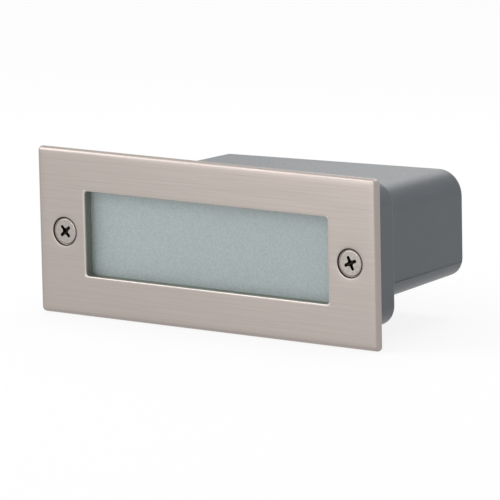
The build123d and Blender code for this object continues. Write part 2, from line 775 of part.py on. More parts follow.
with BuildPart() as terminal_block:
    with BuildSketch(wall_plane(tray_back)):
        with Locations((block_mid_x, body_mid_z)):
            RectangleRounded(block_width, 2 * block_half_height, block_skin / 2)
    extrude(amount=-block_base)
    # ribs between the poles
    with BuildSketch(wall_plane(deck_back)):
        with Locations(*[(block_mid_x, z) for z in rib_spots]):
            Rectangle(block_width - 2 * block_skin, block_skin)
    extrude(amount=-block_rib_height)
    with BuildSketch(wall_plane(deck_back)):
        with Locations(*block_screw_spots):
            Circle(block_screw_head_dia / 2 + loose_gap)
    extrude(amount=-block_rib_height, mode=Mode.SUBTRACT)
    # pockets for the cages, with a wire hole at each end and a screw well over each clamp
    with BuildSketch(wall_plane(cage_mid_y - cage_size / 2)):
        with Locations(*[(block_mid_x, z) for z in pole_spots]):
            Rectangle(cage_length, cage_size)
    extrude(amount=-cage_size, mode=Mode.SUBTRACT)
    with BuildSketch(end_plane(block_left)):
        with Locations(*[(cage_mid_y, z) for z in pole_spots]):
            Circle(wire_hole_dia / 2)
    extrude(amount=block_width, mode=Mode.SUBTRACT)
    with BuildSketch(wall_plane(cage_mid_y)):
        with Locations(*[(block_mid_x + side * clamp_offset, z) for z in pole_spots for side in (-1, 1)]):
            Circle(well_dia / 2)
    extrude(amount=-block_base, mode=Mode.SUBTRACT)
    with BuildSketch(wall_plane(tray_back)):
        with Locations(*block_screw_spots):
            Circle(block_screw_dia / 2 + running_gap)
    extrude(amount=-block_base - block_rib_height, mode=Mode.SUBTRACT)
terminal_block.part.label = "terminal_block"
export_step(terminal_block.part, "parts/terminal_block.step")

with BuildPart() as terminal_cages:
    with BuildSketch(wall_plane(cage_mid_y - cage_size / 2)):
        with Locations(*[(block_mid_x, z) for z in pole_spots]):
            Rectangle(cage_length, cage_size)
    extrude(amount=-cage_size)
    with BuildSketch(end_plane(block_mid_x - cage_length / 2)):
        with Locations(*[(cage_mid_y, z) for z in pole_spots]):
            Circle(mains_lead_dia / 2 + running_gap)
    extrude(amount=cage_length, mode=Mode.SUBTRACT)
    with BuildSketch(wall_plane(cage_mid_y)):
        with Locations(*[(block_mid_x + side * clamp_offset, z) for z in pole_spots for side in (-1, 1)]):
            Circle(clamp_screw_dia / 2 + running_gap)
    extrude(amount=-cage_size, mode=Mode.SUBTRACT)
terminal_cages.part.label = "terminal_cages"
export_step(terminal_cages.part, "parts/terminal_cages.step")

with BuildPart() as terminal_screws:
    with BuildSketch(wall_plane(clamp_bottom)):
        with Locations(*[(block_mid_x + side * clamp_offset, z) for z in pole_spots for side in (-1, 1)]):
            Circle(clamp_screw_dia / 2)
    extrude(amount=-clamp_screw_length)
    with BuildSketch(wall_plane(clamp_bottom + clamp_screw_length)):
        with Locations(*[(block_mid_x + side * clamp_offset, z) for z in pole_spots for side in (-1, 1)]):
            Rectangle(clamp_screw_dia, clamp_slot_width)
    extrude(amount=clamp_slot_depth, mode=Mode.SUBTRACT)
terminal_screws.part.label = "terminal_screws"
export_step(terminal_screws.part, "parts/terminal_screws.step")

block_screws = make_pan_screws(
    block_screw_spots,
    deck_back,
    block_screw_head_dia,
    block_screw_head_height,
    block_head_edge,
    block_screw_dia,
    tray_front + loose_gap,
)
block_screws.label = "block_screws"
export_step(block_screws, "parts/block_screws.step")


# ==== Leads inside the housing ====
def make_lead(points, radius, diameter):
    """A round lead along straight runs joined by arcs."""
    with BuildPart() as lead:
        with BuildLine() as route:
            FilletPolyline(*points, radius=radius)
        start = route.line % 0
        with BuildSketch(Plane(origin=route.line @ 0, z_dir=start)):
            Circle(diameter / 2)
        sweep(path=route.line)
    return lead.part


def make_mains_lead(z):
    """A lead from the terminal block's cage at height z to the end of the driver."""
    points = [
        (block_right - lead_in_cage, cage_mid_y, z),
        (block_right + lead_gap / 4, cage_mid_y, z),
        (driver_left - lead_gap / 4, driver_wire_y, z),
        (driver_left, driver_wire_y, z),
    ]
    return make_lead(points, lead_gap / 2, mains_lead_dia)


mains_lead_live = make_mains_lead(pole_spots[0])
mains_lead_live.label = "mains_lead_live"
export_step(mains_lead_live, "parts/mains_lead_live.step")

mains_lead_neutral = make_mains_lead(pole_spots[1])
mains_lead_neutral.label = "mains_lead_neutral"
export_step(mains_lead_neutral, "parts/mains_lead_neutral.step")


def make_led_lead(z):
    """A lead from the end of the driver, bent through the tray to the front of the LED board."""
    points = [
        (driver_left, led_wire_y, z),
        (lead_hole_x, led_wire_y, z),
        (lead_hole_x, board_front, z),
    ]
    return make_lead(points, led_lead_bend, led_lead_dia)


led_lead_positive = make_led_lead(lead_spots[0][1])
led_lead_positive.label = "led_lead_positive"
export_step(led_lead_positive, "parts/led_lead_positive.step")

led_lead_negative = make_led_lead(lead_spots[1][1])
led_lead_negative.label = "led_lead_negative"
export_step(led_lead_negative, "parts/led_lead_negative.step")

tag_mouth = lead_hole_x - tag_reach
tag_neck = tag_reach - tag_barrel_length + running_gap
barrel_y = tray_back + tag_barrel_dia / 2
earth_lead = make_lead(
    [
        (block_right - lead_in_cage, cage_mid_y, earth_z),
        (block_right + earth_stub, cage_mid_y, earth_z),
        (tag_mouth - earth_stub, barrel_y, earth_z),
        (tag_mouth + tag_barrel_length - loose_gap, barrel_y, earth_z),
    ],
    earth_lead_bend,
    mains_lead_dia,
)
earth_lead.label = "earth_lead"
export_step(earth_lead, "parts/earth_lead.step")

with BuildPart() as earth_tag:
    with BuildSketch(wall_plane(tray_back)):
        with Locations((lead_hole_x, earth_z)):
            Circle(tag_ring_dia / 2)
        with Locations((lead_hole_x - tag_neck / 2, earth_z)):
            Rectangle(tag_neck, tag_barrel_dia)
        with Locations((lead_hole_x, earth_z)):
            Circle(earth_screw_dia / 2 + running_gap, mode=Mode.SUBTRACT)
    extrude(amount=-tag_sheet)
    with BuildSketch(end_plane(tag_mouth)):
        with Locations((barrel_y, earth_z)):
            Circle(tag_barrel_dia / 2)
            Circle(mains_lead_dia / 2 + running_gap, mode=Mode.SUBTRACT)
    extrude(amount=tag_barrel_length)
earth_tag.part.label = "earth_tag"
export_step(earth_tag.part, "parts/earth_tag.step")

earth_screw = make_pan_screws(
    [(lead_hole_x, earth_z)],
    tray_back + tag_sheet,
    earth_head_dia,
    earth_head_height,
    round_head_edge,
    earth_screw_dia,
    tray_front + loose_gap,
)
earth_screw.label = "earth_screw"
export_step(earth_screw, "parts/earth_screw.step")


# ==== Cable gland on the left end of the body, pointing left ====
def gland_plane():
    """A plane through the gland's axis. Its x is X and its y is the radius."""
    return Plane(origin=(0, gland_y, gland_z), x_dir=(1, 0, 0), z_dir=(0, 0, 1))


gland_axis = Axis((0, gland_y, gland_z), (1, 0, 0))
pad_x = body_left - gland_pad_height
washer_x = pad_x - gland_washer_thickness
hex_x = washer_x - gland_hex_width
spigot_x = hex_x - gland_spigot_length
locknut_radius = locknut_flats / 2
locknut_x = body_left + wall + (gland_y + locknut_radius - rim_front) * tan(radians(draft)) + loose_gap
seal_x = spigot_x - seal_proud
seal_radius = gland_spigot_dia / 2 - spigot_wall

with BuildPart() as gland_body:
    with BuildSketch(end_plane(hex_x)):
        with Locations((gland_y, gland_z)):
            RegularPolygon(gland_flats / 2, 6, major_radius=False)
    extrude(amount=gland_hex_width)
    with BuildSketch(gland_plane()):
        with BuildLine():
            Polyline(
                (hex_x, 0),
                (hex_x, gland_flats / 2),
                (hex_x + hex_chamfer, gland_flats / 2 + 2 * hex_chamfer),
                (washer_x, gland_flats / 2 + 2 * hex_chamfer),
                (washer_x, 0),
                close=True,
            )
        make_face()
    revolve(axis=gland_axis, mode=Mode.INTERSECT)
    with BuildSketch(end_plane(spigot_x)):
        with Locations((gland_y, gland_z)):
            Circle(gland_spigot_dia / 2)
    extrude(amount=gland_spigot_length)
    with BuildSketch(end_plane(washer_x)):
        with Locations((gland_y, gland_z)):
            Circle(gland_thread_dia / 2)
    extrude(amount=gland_inner_length)
    with BuildSketch(end_plane(spigot_x)):
        with Locations((gland_y, gland_z)):
            Circle(gland_bore_dia / 2)
    extrude(amount=washer_x - spigot_x + gland_inner_length, mode=Mode.SUBTRACT)
    # seat of the seal
    with BuildSketch(end_plane(spigot_x)):
        with Locations((gland_y, gland_z)):
            Circle(seal_radius)
    extrude(amount=seal_length - seal_proud, mode=Mode.SUBTRACT)
gland_body.part.label = "gland_body"
export_step(gland_body.part, "parts/gland_body.step")

with BuildPart() as gland_washer:
    with BuildSketch(end_plane(washer_x)):
        with Locations((gland_y, gland_z)):
            Circle(gland_flats / 2)
            Circle(gland_thread_dia / 2 + running_gap, mode=Mode.SUBTRACT)
    extrude(amount=gland_washer_thickness)
gland_washer.part.label = "gland_washer"
export_step(gland_washer.part, "parts/gland_washer.step")

with BuildPart() as gland_locknut:
    with BuildSketch(end_plane(locknut_x)):
        with Locations((gland_y, gland_z)):
            RegularPolygon(locknut_radius, 6, major_radius=False)
            Circle(gland_thread_dia / 2 + running_gap, mode=Mode.SUBTRACT)
    extrude(amount=locknut_width)
gland_locknut.part.label = "gland_locknut"
export_step(gland_locknut.part, "parts/gland_locknut.step")

with BuildPart() as gland_seal:
    with BuildSketch(end_plane(seal_x)):
        with Locations((gland_y, gland_z)):
            Circle(seal_radius)
            Circle(cable_dia / 2 + cable_gap, mode=Mode.SUBTRACT)
    extrude(amount=seal_length)
gland_seal.part.label = "gland_seal"
export_step(gland_seal.part, "parts/gland_seal.step")

nut_open_x = hex_x - free_gap
nut_step_x = nut_open_x - nut_skirt_length
nut_end_x = nut_step_x - nut_dome_length
with BuildPart() as gland_nut:
    with BuildSketch(end_plane(nut_step_x)):
        with Locations((gland_y, gland_z)):
            RegularPolygon(gland_flats / 2, 6, major_radius=False)
    extrude(amount=nut_skirt_length)
    with BuildSketch(gland_plane()):
        with BuildLine():
            Polyline(
                (nut_step_x, 0),
                (nut_step_x, gland_flats / 2),
                (nut_step_x + hex_chamfer, gland_flats / 2 + 2 * hex_chamfer),
                (nut_open_x, gland_flats / 2 + 2 * hex_chamfer),
                (nut_open_x, 0),
                close=True,
            )
        make_face()
    revolve(axis=gland_axis, mode=Mode.INTERSECT)
    # dome, rounded from the skirt to the mouth
    with BuildSketch(gland_plane()):
        with BuildLine():
            dome_foot = (nut_step_x, gland_flats / 2)
            dome_top = (nut_end_x, gland_mouth_dia / 2 + nut_mouth_wall)
            dome = JernArc(start=dome_foot, tangent=(-1, 0), radius=nut_dome_length, arc_size=dome_turn)
            Line(dome @ 1, dome_top)
            Polyline(dome_top, (nut_end_x, 0), (nut_step_x, 0), dome_foot)
        make_face()
    revolve(axis=gland_axis)
    with BuildSketch(gland_plane()):
        with BuildLine():
            Polyline(
                (nut_open_x, 0),
                (nut_open_x, gland_spigot_dia / 2 + running_gap),
                (spigot_x - free_gap, gland_spigot_dia / 2 + running_gap),
                (spigot_x - free_gap, seal_radius + free_gap),
                (seal_x - free_gap, seal_radius + free_gap),
                (seal_x - free_gap, gland_mouth_dia / 2),
                (nut_end_x, gland_mouth_dia / 2),
                (nut_end_x, 0),
                close=True,
            )
        make_face()
    revolve(axis=gland_axis, mode=Mode.SUBTRACT)
gland_nut.part.label = "gland_nut"
export_step(gland_nut.part, "parts/gland_nut.step")
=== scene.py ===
import math

import bmesh
import bpy
import numpy as np
from mathutils import Matrix, Vector


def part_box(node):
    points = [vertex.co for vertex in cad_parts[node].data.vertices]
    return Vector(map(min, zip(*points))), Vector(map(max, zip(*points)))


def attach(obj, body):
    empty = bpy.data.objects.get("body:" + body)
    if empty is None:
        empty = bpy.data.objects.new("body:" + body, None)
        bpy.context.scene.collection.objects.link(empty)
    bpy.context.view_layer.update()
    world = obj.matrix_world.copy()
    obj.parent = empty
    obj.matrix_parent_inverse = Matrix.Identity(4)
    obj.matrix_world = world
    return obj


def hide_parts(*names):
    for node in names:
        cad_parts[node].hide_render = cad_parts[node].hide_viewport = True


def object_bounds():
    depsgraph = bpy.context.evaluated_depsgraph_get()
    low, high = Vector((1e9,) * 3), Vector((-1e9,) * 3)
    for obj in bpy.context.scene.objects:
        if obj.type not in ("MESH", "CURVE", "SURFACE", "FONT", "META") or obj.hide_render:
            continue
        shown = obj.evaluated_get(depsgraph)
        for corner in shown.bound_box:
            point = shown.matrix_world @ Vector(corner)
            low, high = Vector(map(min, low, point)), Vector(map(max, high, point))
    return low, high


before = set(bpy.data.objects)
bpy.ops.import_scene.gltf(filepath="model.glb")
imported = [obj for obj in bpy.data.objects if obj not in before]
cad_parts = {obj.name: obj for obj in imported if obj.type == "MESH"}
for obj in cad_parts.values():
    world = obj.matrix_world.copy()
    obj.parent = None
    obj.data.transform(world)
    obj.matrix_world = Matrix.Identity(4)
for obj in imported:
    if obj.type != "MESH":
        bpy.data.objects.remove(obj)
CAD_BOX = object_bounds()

bl_info = {
    "name": "Step Light",
    "version": (1, 0, 0),
    "blender": (4, 5, 0),
    "location": "View3D > Sidebar > Step Light",
    "description": "A recessed outdoor step light with a steel faceplate, "
    "etched glass and a cast wall box",
    "category": "Object",
}

MM = 0.001


# ==== Small helpers ====
def linear(code, alpha=None):
    """A colour written as sRGB hex, turned to the linear values that shaders take."""
    parts = [int(code[i:i + 2], 16) / 255 for i in (0, 2, 4)]
    light = [p / 12.92 if p <= 0.04045 else ((p + 0.055) / 1.055) ** 2.4 for p in parts]
    return tuple(light) if alpha is None else tuple(light) + (alpha,)


def per_mm(size):
    """A texture scale that gives features of that size in millimetres."""
    return 1.0 / (size * MM)


def box_mm(node):
    """Lowest and highest corner of a CAD node, in millimetres."""
    low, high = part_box(node)
    return np.array(low) / MM, np.array(high) / MM


def smooth_step(value, low, high):
    """0 below low, 1 above high, and a cubic ease between them."""
    t = np.clip((value - low) / (high - low), 0, 1)
    return t * t * (3 - 2 * t)


def grid_quads(rows, columns, wrap_rows=False):
    """Corner numbers of the quads of a grid whose last column joins its first."""
    row = np.arange(rows if wrap_rows else rows - 1)[:, None]
    column = np.arange(columns)[None, :]
    below = (row + 1) % rows
    beside = (column + 1) % columns
    return np.stack(
        [
            row * columns + column,
            row * columns + beside,
            below * columns + beside,
            below * columns + column,
        ],
        axis=-1,
    ).reshape(-1, 4)


def ring_angles(columns):
    """Angles of the points of one ring, as a row."""
    return np.linspace(0, 2 * math.pi, columns, endpoint=False)[None, :]


def stack(parts):
    """Joins several (points, quads) pairs into one."""
    points, quads, count = [], [], 0
    for part_points, part_quads in parts:
        points.append(part_points)
        quads.append(part_quads + count)
        count += len(part_points)
    return np.concatenate(points), np.concatenate(quads)


def clean_mesh(mesh, merge_mm, sliver_mm, outwards):
    """Merges doubled points, which closes poles, drops slivers and may turn faces outwards."""
    shape = bmesh.new()
    shape.from_mesh(mesh)
    bmesh.ops.remove_doubles(shape, verts=shape.verts, dist=merge_mm * MM)
    bmesh.ops.dissolve_degenerate(shape, edges=shape.edges, dist=sliver_mm * MM)
    if outwards:
        bmesh.ops.recalc_face_normals(shape, faces=shape.faces)
    shape.to_mesh(mesh)
    shape.free()


def make_piece(name, points, quads, body, material, replaced, sharp=32.0):
    """A closed mesh object from points in millimetres, shown in place of the replaced CAD node."""
    mesh = bpy.data.meshes.new(name)
    mesh.from_pydata(np.asarray(points) * MM, [], np.asarray(quads).tolist())
    clean_mesh(mesh, 0.002, 0.001, outwards=True)
    return finish_piece(name, mesh, body, material, replaced, sharp)


def merged_copy(name, node, body, material, sharp=28.0):
    """A copy of a CAD node, its loose triangles merged so that its rounded edges shade smoothly."""
    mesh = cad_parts[node].data.copy()
    clean_mesh(mesh, 0.001, 0.0005, outwards=False)
    if "custom_normal" in mesh.attributes:
        mesh.attributes.remove(mesh.attributes["custom_normal"])
    mesh.name = name
    piece = finish_piece(name, mesh, body, material, node, sharp)
    flat = piece.modifiers.new("flat_faces_stay_flat", "WEIGHTED_NORMAL")
    flat.keep_sharp = True
    return piece


def finish_piece(name, mesh, body, material, replaced, sharp):
    """Shades the mesh smooth below that angle, gives it its material and ties it to its body."""
    mesh.polygons.foreach_set("use_smooth", np.ones(len(mesh.polygons), bool))
    mesh.set_sharp_from_angle(angle=math.radians(sharp))
    mesh.materials.clear()
    mesh.materials.append(material)
    piece = bpy.data.objects.new(name, mesh)
    bpy.context.scene.collection.objects.link(piece)
    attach(piece, body)
    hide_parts(replaced)
    return piece


# ==== Places and sizes, in millimetres ====
# from the CAD nodes, or the same as in the CAD
PLATE_LOW, PLATE_HIGH = box_mm("faceplate")
SCREW_X = sum(corner[0] for corner in box_mm("cover_screw_right")) / 2
SCREW_TOP, SCREW_TIP = (corner[1] for corner in box_mm("cover_screw_left"))

GLASS_OVERLAP = 2.2  # glass behind the edge of the window
GLASS_CORNER = box_mm("diffuser_glass")[1]
WINDOW_HALF_WIDTH = GLASS_CORNER[0] - GLASS_OVERLAP
WINDOW_HALF_HEIGHT = GLASS_CORNER[2] - GLASS_OVERLAP
WINDOW_CORNER = 1.4

NUT_FLATS = 5.0
NUT_CORNER = box_mm("clip_nuts")[1]
STUD_X = NUT_CORNER[0] - NUT_FLATS / math.sqrt(3)  # the studs stand in the middle of the nuts
STUD_Z = NUT_CORNER[2] - NUT_FLATS / 2

# the cross recess, as in the CAD, and the painted shade in it
CROSS_SPAN, CROSS_WIDTH, CROSS_DEPTH = 6.2, 1.5, 2.2
RECESS_SHADE_START, RECESS_SHADE_FULL = 0.12, 0.6  # below the head's face
RECESS_SHADE_REACH = 3.5  # from the screw's axis, just past the cross
RECESS_SHADE_SOFT = 0.05


# ==== Parts of materials ====
NOISE_LOW, NOISE_HIGH = 0.3, 0.7  # most of a noise texture's values lie between these
MIX_FIRST, MIX_SECOND, MIX_RESULT = 6, 7, 2  # a Mix node's colour sockets, by number


def add_node(tree, kind, inputs=None, **settings):
    """Adds one shader node with its settings. An input is a value or another node's output."""
    made = tree.nodes.new(kind)
    for setting, value in settings.items():
        setattr(made, setting, value)
    for socket, value in (inputs or {}).items():
        if isinstance(value, bpy.types.NodeSocket):
            tree.links.new(value, made.inputs[socket])
        else:
            made.inputs[socket].default_value = value
    return made


def new_material(name):
    """An empty material, with its node tree and Object coordinates."""
    material = bpy.data.materials.new(name)
    material.use_nodes = True
    tree = material.node_tree
    tree.nodes.clear()
    place = add_node(tree, "ShaderNodeTexCoord").outputs["Object"]
    return material, tree, place


def noise_range(noise, low, high):
    """Inputs of a Map Range node that spreads a noise texture's usual values from low to high."""
    value = noise.outputs["Fac"]
    ends = {"From Min": NOISE_LOW, "From Max": NOISE_HIGH, "To Min": low, "To Max": high}
    return {"Value": value, **ends}


def fade(value, start_mm, end_mm, first, last):
    """Inputs of a Map Range node that goes from first to last between two distances."""
    ends = {"From Min": start_mm * MM, "From Max": end_mm * MM, "To Min": first, "To Max": last}
    return {"Value": value, **ends}


def blend(factor, first, second):
    """Inputs of a Mix node between two colours, each as sRGB hex or as another node's output."""
    first, second = (linear(c, 1.0) if isinstance(c, str) else c for c in (first, second))
    return {0: factor, MIX_FIRST: first, MIX_SECOND: second}


def mixed(mix):
    """The colour that a Mix node gives."""
    return mix.outputs[MIX_RESULT]


def relief(noise, strength, depth_mm):
    """Inputs of a Bump node over a noise texture."""
    return {"Height": noise.outputs["Fac"], "Strength": strength, "Distance": depth_mm * MM}


def ring_mask(tree, place, centre_x, radius_mm, soft_mm):
    """1 inside a circle round the Y axis at centre_x and at -centre_x, and 0 outside, with a soft
    edge between them."""
    split = add_node(tree, "ShaderNodeSeparateXYZ", {"Vector": place})
    beside = add_node(tree, "ShaderNodeMath", {0: split.outputs["X"]}, operation="ABSOLUTE")
    away = add_node(
        tree, "ShaderNodeMath", {0: beside.outputs[0], 1: centre_x * MM}, operation="SUBTRACT"
    )
    flat = add_node(
        tree, "ShaderNodeCombineXYZ", {"X": away.outputs[0], "Y": split.outputs["Z"]}
    )
    radius = add_node(tree, "ShaderNodeVectorMath", {0: flat.outputs[0]}, operation="LENGTH")
    edge = fade(radius.outputs["Value"], radius_mm - soft_mm, radius_mm + soft_mm, 1.0, 0.0)
    return add_node(tree, "ShaderNodeMapRange", edge).outputs[0]


LINE_INNER, LINE_OUTER = 5.6, 6.15  # radii of the painted shadow line round a screw
LINE_SOFT = 0.1
LINE_BACK = -1.5  # the line is on the front of the sheet only


def shoulder_shadow_line(tree, place):
    """1 on the thin painted shadow line round each screw, on the dimple's shoulder, and 0
    elsewhere.
    """
    inner = ring_mask(tree, place, SCREW_X, LINE_INNER, LINE_SOFT)
    outer = ring_mask(tree, place, SCREW_X, LINE_OUTER, LINE_SOFT)
    ring = add_node(tree, "ShaderNodeMath", {0: outer, 1: inner}, operation="SUBTRACT")
    depth = add_node(tree, "ShaderNodeSeparateXYZ", {"Vector": place}).outputs["Y"]
    front = add_node(tree, "ShaderNodeMath", {0: depth, 1: LINE_BACK * MM}, operation="LESS_THAN")
    both = {0: ring.outputs[0], 1: front.outputs[0]}
    return add_node(tree, "ShaderNodeMath", both, operation="MULTIPLY").outputs[0]


LIP_SHEEN = 0.7  # width of the painted highlight round the window's edge


def painted_window_highlight(tree, place):
    """1 on the window's rounded edge and inside it, where a highlight is painted, and 0 elsewhere.
    """
    split = add_node(tree, "ShaderNodeSeparateXYZ", {"Vector": place})
    gaps = []
    for axis, half in (("X", WINDOW_HALF_WIDTH), ("Z", WINDOW_HALF_HEIGHT)):
        away = add_node(tree, "ShaderNodeMath", {0: split.outputs[axis]}, operation="ABSOLUTE")
        inputs = {0: away.outputs[0], 1: half * MM}
        gaps.append(add_node(tree, "ShaderNodeMath", inputs, operation="SUBTRACT").outputs[0])
    outside = add_node(tree, "ShaderNodeMath", {0: gaps[0], 1: gaps[1]}, operation="MAXIMUM")
    edge = fade(outside.outputs[0], LIP_SHEEN / 2, LIP_SHEEN, 1.0, 0.0)
    return add_node(tree, "ShaderNodeMapRange", edge).outputs[0]


# ==== Materials, each from what the real one is ====
def brushed_sheet(
    name, light, dark, stroke_mm, spacing_mm, smoothest, roughest, depth_mm, painted_light_marks=()
):
    """Cold-rolled sheet, brushed with an abrasive belt along its length. The belt leaves long fine
    strokes, which give streaks of light and dark and spread highlights across them. The strokes
    are drawn about twice as coarse as the real ones, so that they show. Places with painted shade
    or a painted highlight come as pairs of a colour and the function that makes their mask."""
    material, tree, place = new_material(name)
    scale = (per_mm(stroke_mm), per_mm(spacing_mm), per_mm(spacing_mm))
    long_way = add_node(tree, "ShaderNodeMapping", {"Vector": place, "Scale": scale})
    strokes = add_node(
        tree,
        "ShaderNodeTexNoise",
        {"Vector": long_way.outputs[0], "Scale": 1.0, "Detail": 4.0, "Roughness": 0.65},
    )
    clouds = add_node(
        tree,
        "ShaderNodeTexNoise",
        {"Vector": place, "Scale": per_mm(30.0), "Detail": 2.0, "Roughness": 0.5},
    )
    streak = add_node(tree, "ShaderNodeMapRange", noise_range(strokes, 0.0, 1.0))
    tint = add_node(
        tree, "ShaderNodeMix", blend(streak.outputs[0], dark, light), data_type="RGBA"
    )
    # each mark paints shade or a highlight over the streaks
    for colour, mask in painted_light_marks:
        tint = add_node(
            tree, "ShaderNodeMix", blend(mask(tree, place), mixed(tint), colour), data_type="RGBA"
        )
    rough = add_node(tree, "ShaderNodeMapRange", noise_range(strokes, low=roughest, high=smoothest))
    dulling = 0.08  # how much the clouds add to the roughness
    dulled = add_node(
        tree,
        "ShaderNodeMath",
        {0: clouds.outputs["Fac"], 1: dulling, 2: rough.outputs[0]},
        operation="MULTIPLY_ADD",
    )
    bump = add_node(tree, "ShaderNodeBump", relief(strokes, strength=0.6, depth_mm=depth_mm))
    inputs = {"Base Color": mixed(tint), "Metallic": 1.0, "Roughness": dulled.outputs[0]}
    inputs["Normal"] = bump.outputs[0]
    shader = add_node(tree, "ShaderNodeBsdfPrincipled", inputs)
    add_node(tree, "ShaderNodeOutputMaterial", {"Surface": shader.outputs[0]})
    return material


def turned_stainless_steel(name, light, dark, recess, centre_x):
    """Stainless bar, turned on a lathe and tumbled. The tool leaves rings round the screw's axis,
    and tumbling rounds the edges and speckles the face. Both are drawn coarser than the real ones,
    so that they show. The walls and floor of the cross recess are painted nearly black in the
    recess colour, as painted shade."""
    material, tree, place = new_material(name)
    centred = add_node(
        tree, "ShaderNodeMapping", {"Vector": place, "Location": (-centre_x * MM, 0, 0)}
    )
    split = add_node(tree, "ShaderNodeSeparateXYZ", {"Vector": centred.outputs[0]})
    flat = add_node(
        tree, "ShaderNodeCombineXYZ", {"X": split.outputs["X"], "Z": split.outputs["Z"]}
    )
    radius = add_node(tree, "ShaderNodeVectorMath", {0: flat.outputs[0]}, operation="LENGTH")
    rings = add_node(
        tree,
        "ShaderNodeTexNoise",
        {"W": radius.outputs["Value"], "Scale": per_mm(0.35), "Detail": 2.0},
        noise_dimensions="1D",
    )
    specks = add_node(
        tree, "ShaderNodeTexNoise", {"Vector": place, "Scale": per_mm(0.9), "Detail": 3.0}
    )
    rough = add_node(tree, "ShaderNodeMapRange", noise_range(specks, low=0.22, high=0.38))
    bump = add_node(tree, "ShaderNodeBump", relief(rings, strength=0.5, depth_mm=0.006))
    tint = add_node(
        tree, "ShaderNodeMix", blend(specks.outputs["Fac"], dark, light), data_type="RGBA"
    )
    # the painted shade lies below the face, above the recess's floor and inside the reach of the
    # cross
    below = fade(split.outputs["Y"], SCREW_TOP + RECESS_SHADE_START, SCREW_TOP + RECESS_SHADE_FULL, 0.0, 1.0)
    sunk = add_node(tree, "ShaderNodeMapRange", below)
    above = {0: split.outputs["Y"], 1: (SCREW_TOP + CROSS_DEPTH) * MM}
    above_floor = add_node(tree, "ShaderNodeMath", above, operation="LESS_THAN")
    within = ring_mask(tree, place, abs(centre_x), RECESS_SHADE_REACH, RECESS_SHADE_SOFT)
    walls = add_node(tree, "ShaderNodeMath", {0: sunk.outputs[0], 1: within}, operation="MULTIPLY")
    shade_inputs = {0: walls.outputs[0], 1: above_floor.outputs[0]}
    painted_recess_shade = add_node(tree, "ShaderNodeMath", shade_inputs, operation="MULTIPLY")
    tint = add_node(
        tree, "ShaderNodeMix", blend(painted_recess_shade.outputs[0], mixed(tint), recess), data_type="RGBA"
    )
    inputs = {"Base Color": mixed(tint), "Metallic": 1.0, "Roughness": rough.outputs[0]}
    inputs["Normal"] = bump.outputs[0]
    shader = add_node(tree, "ShaderNodeBsdfPrincipled", inputs)
    add_node(tree, "ShaderNodeOutputMaterial", {"Surface": shader.outputs[0]})
    return material


def plated_metal(name, light, dark, roughness, patch_mm):
    """Small pressed or turned metal parts, plated or bare. Plating grows in fine patches and
    fingers dull it here and there, which gives mottled highlights. The patches are drawn coarser
    than the real ones, so that they show."""
    material, tree, place = new_material(name)
    mottle = add_node(
        tree, "ShaderNodeTexNoise", {"Vector": place, "Scale": per_mm(patch_mm), "Detail": 4.0}
    )
    spread = noise_range(mottle, low=roughness * 0.8, high=roughness * 1.25)
    rough = add_node(tree, "ShaderNodeMapRange", spread)
    bump = add_node(tree, "ShaderNodeBump", relief(mottle, strength=0.4, depth_mm=0.003))
    tint = add_node(
        tree, "ShaderNodeMix", blend(mottle.outputs["Fac"], dark, light), data_type="RGBA"
    )
    inputs = {"Base Color": mixed(tint), "Metallic": 1.0, "Roughness": rough.outputs[0]}
    inputs["Normal"] = bump.outputs[0]
    shader = add_node(tree, "ShaderNodeBsdfPrincipled", inputs)
    add_node(tree, "ShaderNodeOutputMaterial", {"Surface": shader.outputs[0]})
    return material


def moulded(name, light, dark, roughness, grain_mm, depth_mm, stripe=None):
    """Moulded or extruded plastic and rubber. A fine surface grain breaks up the highlight, and
    the colour drifts a little from place to place. The grain is drawn coarser than the real one,
    so that it shows. stripe is the printed band of an earth lead, as its colour, the height of its
    middle and half its width."""
    material, tree, place = new_material(name)
    grain = add_node(
        tree, "ShaderNodeTexNoise", {"Vector": place, "Scale": per_mm(grain_mm), "Detail": 2.0}
    )
    clouds = add_node(
        tree, "ShaderNodeTexNoise", {"Vector": place, "Scale": per_mm(18.0), "Detail": 3.0}
    )
    tint = add_node(
        tree, "ShaderNodeMix", blend(clouds.outputs["Fac"], dark, light), data_type="RGBA"
    )
    if stripe:
        colour, centre_z, half_width = stripe
        height = add_node(tree, "ShaderNodeSeparateXYZ", {"Vector": place}).outputs["Z"]
        away = add_node(tree, "ShaderNodeMath", {0: height, 1: centre_z * MM}, operation="SUBTRACT")
        near = add_node(tree, "ShaderNodeMath", {0: away.outputs[0]}, operation="ABSOLUTE")
        band = add_node(
            tree, "ShaderNodeMath", {0: near.outputs[0], 1: half_width * MM}, operation="LESS_THAN"
        )
        tint = add_node(
            tree, "ShaderNodeMix", blend(band.outputs[0], mixed(tint), colour), data_type="RGBA"
        )
    spread = noise_range(grain, low=roughness * 0.88, high=roughness * 1.12)
    rough = add_node(tree, "ShaderNodeMapRange", spread)
    bump = add_node(tree, "ShaderNodeBump", relief(grain, strength=0.5, depth_mm=depth_mm))
    inputs = {"Base Color": mixed(tint), "Roughness": rough.outputs[0], "Normal": bump.outputs[0]}
    shader = add_node(tree, "ShaderNodeBsdfPrincipled", inputs)
    add_node(tree, "ShaderNodeOutputMaterial", {"Surface": shader.outputs[0]})
    return material


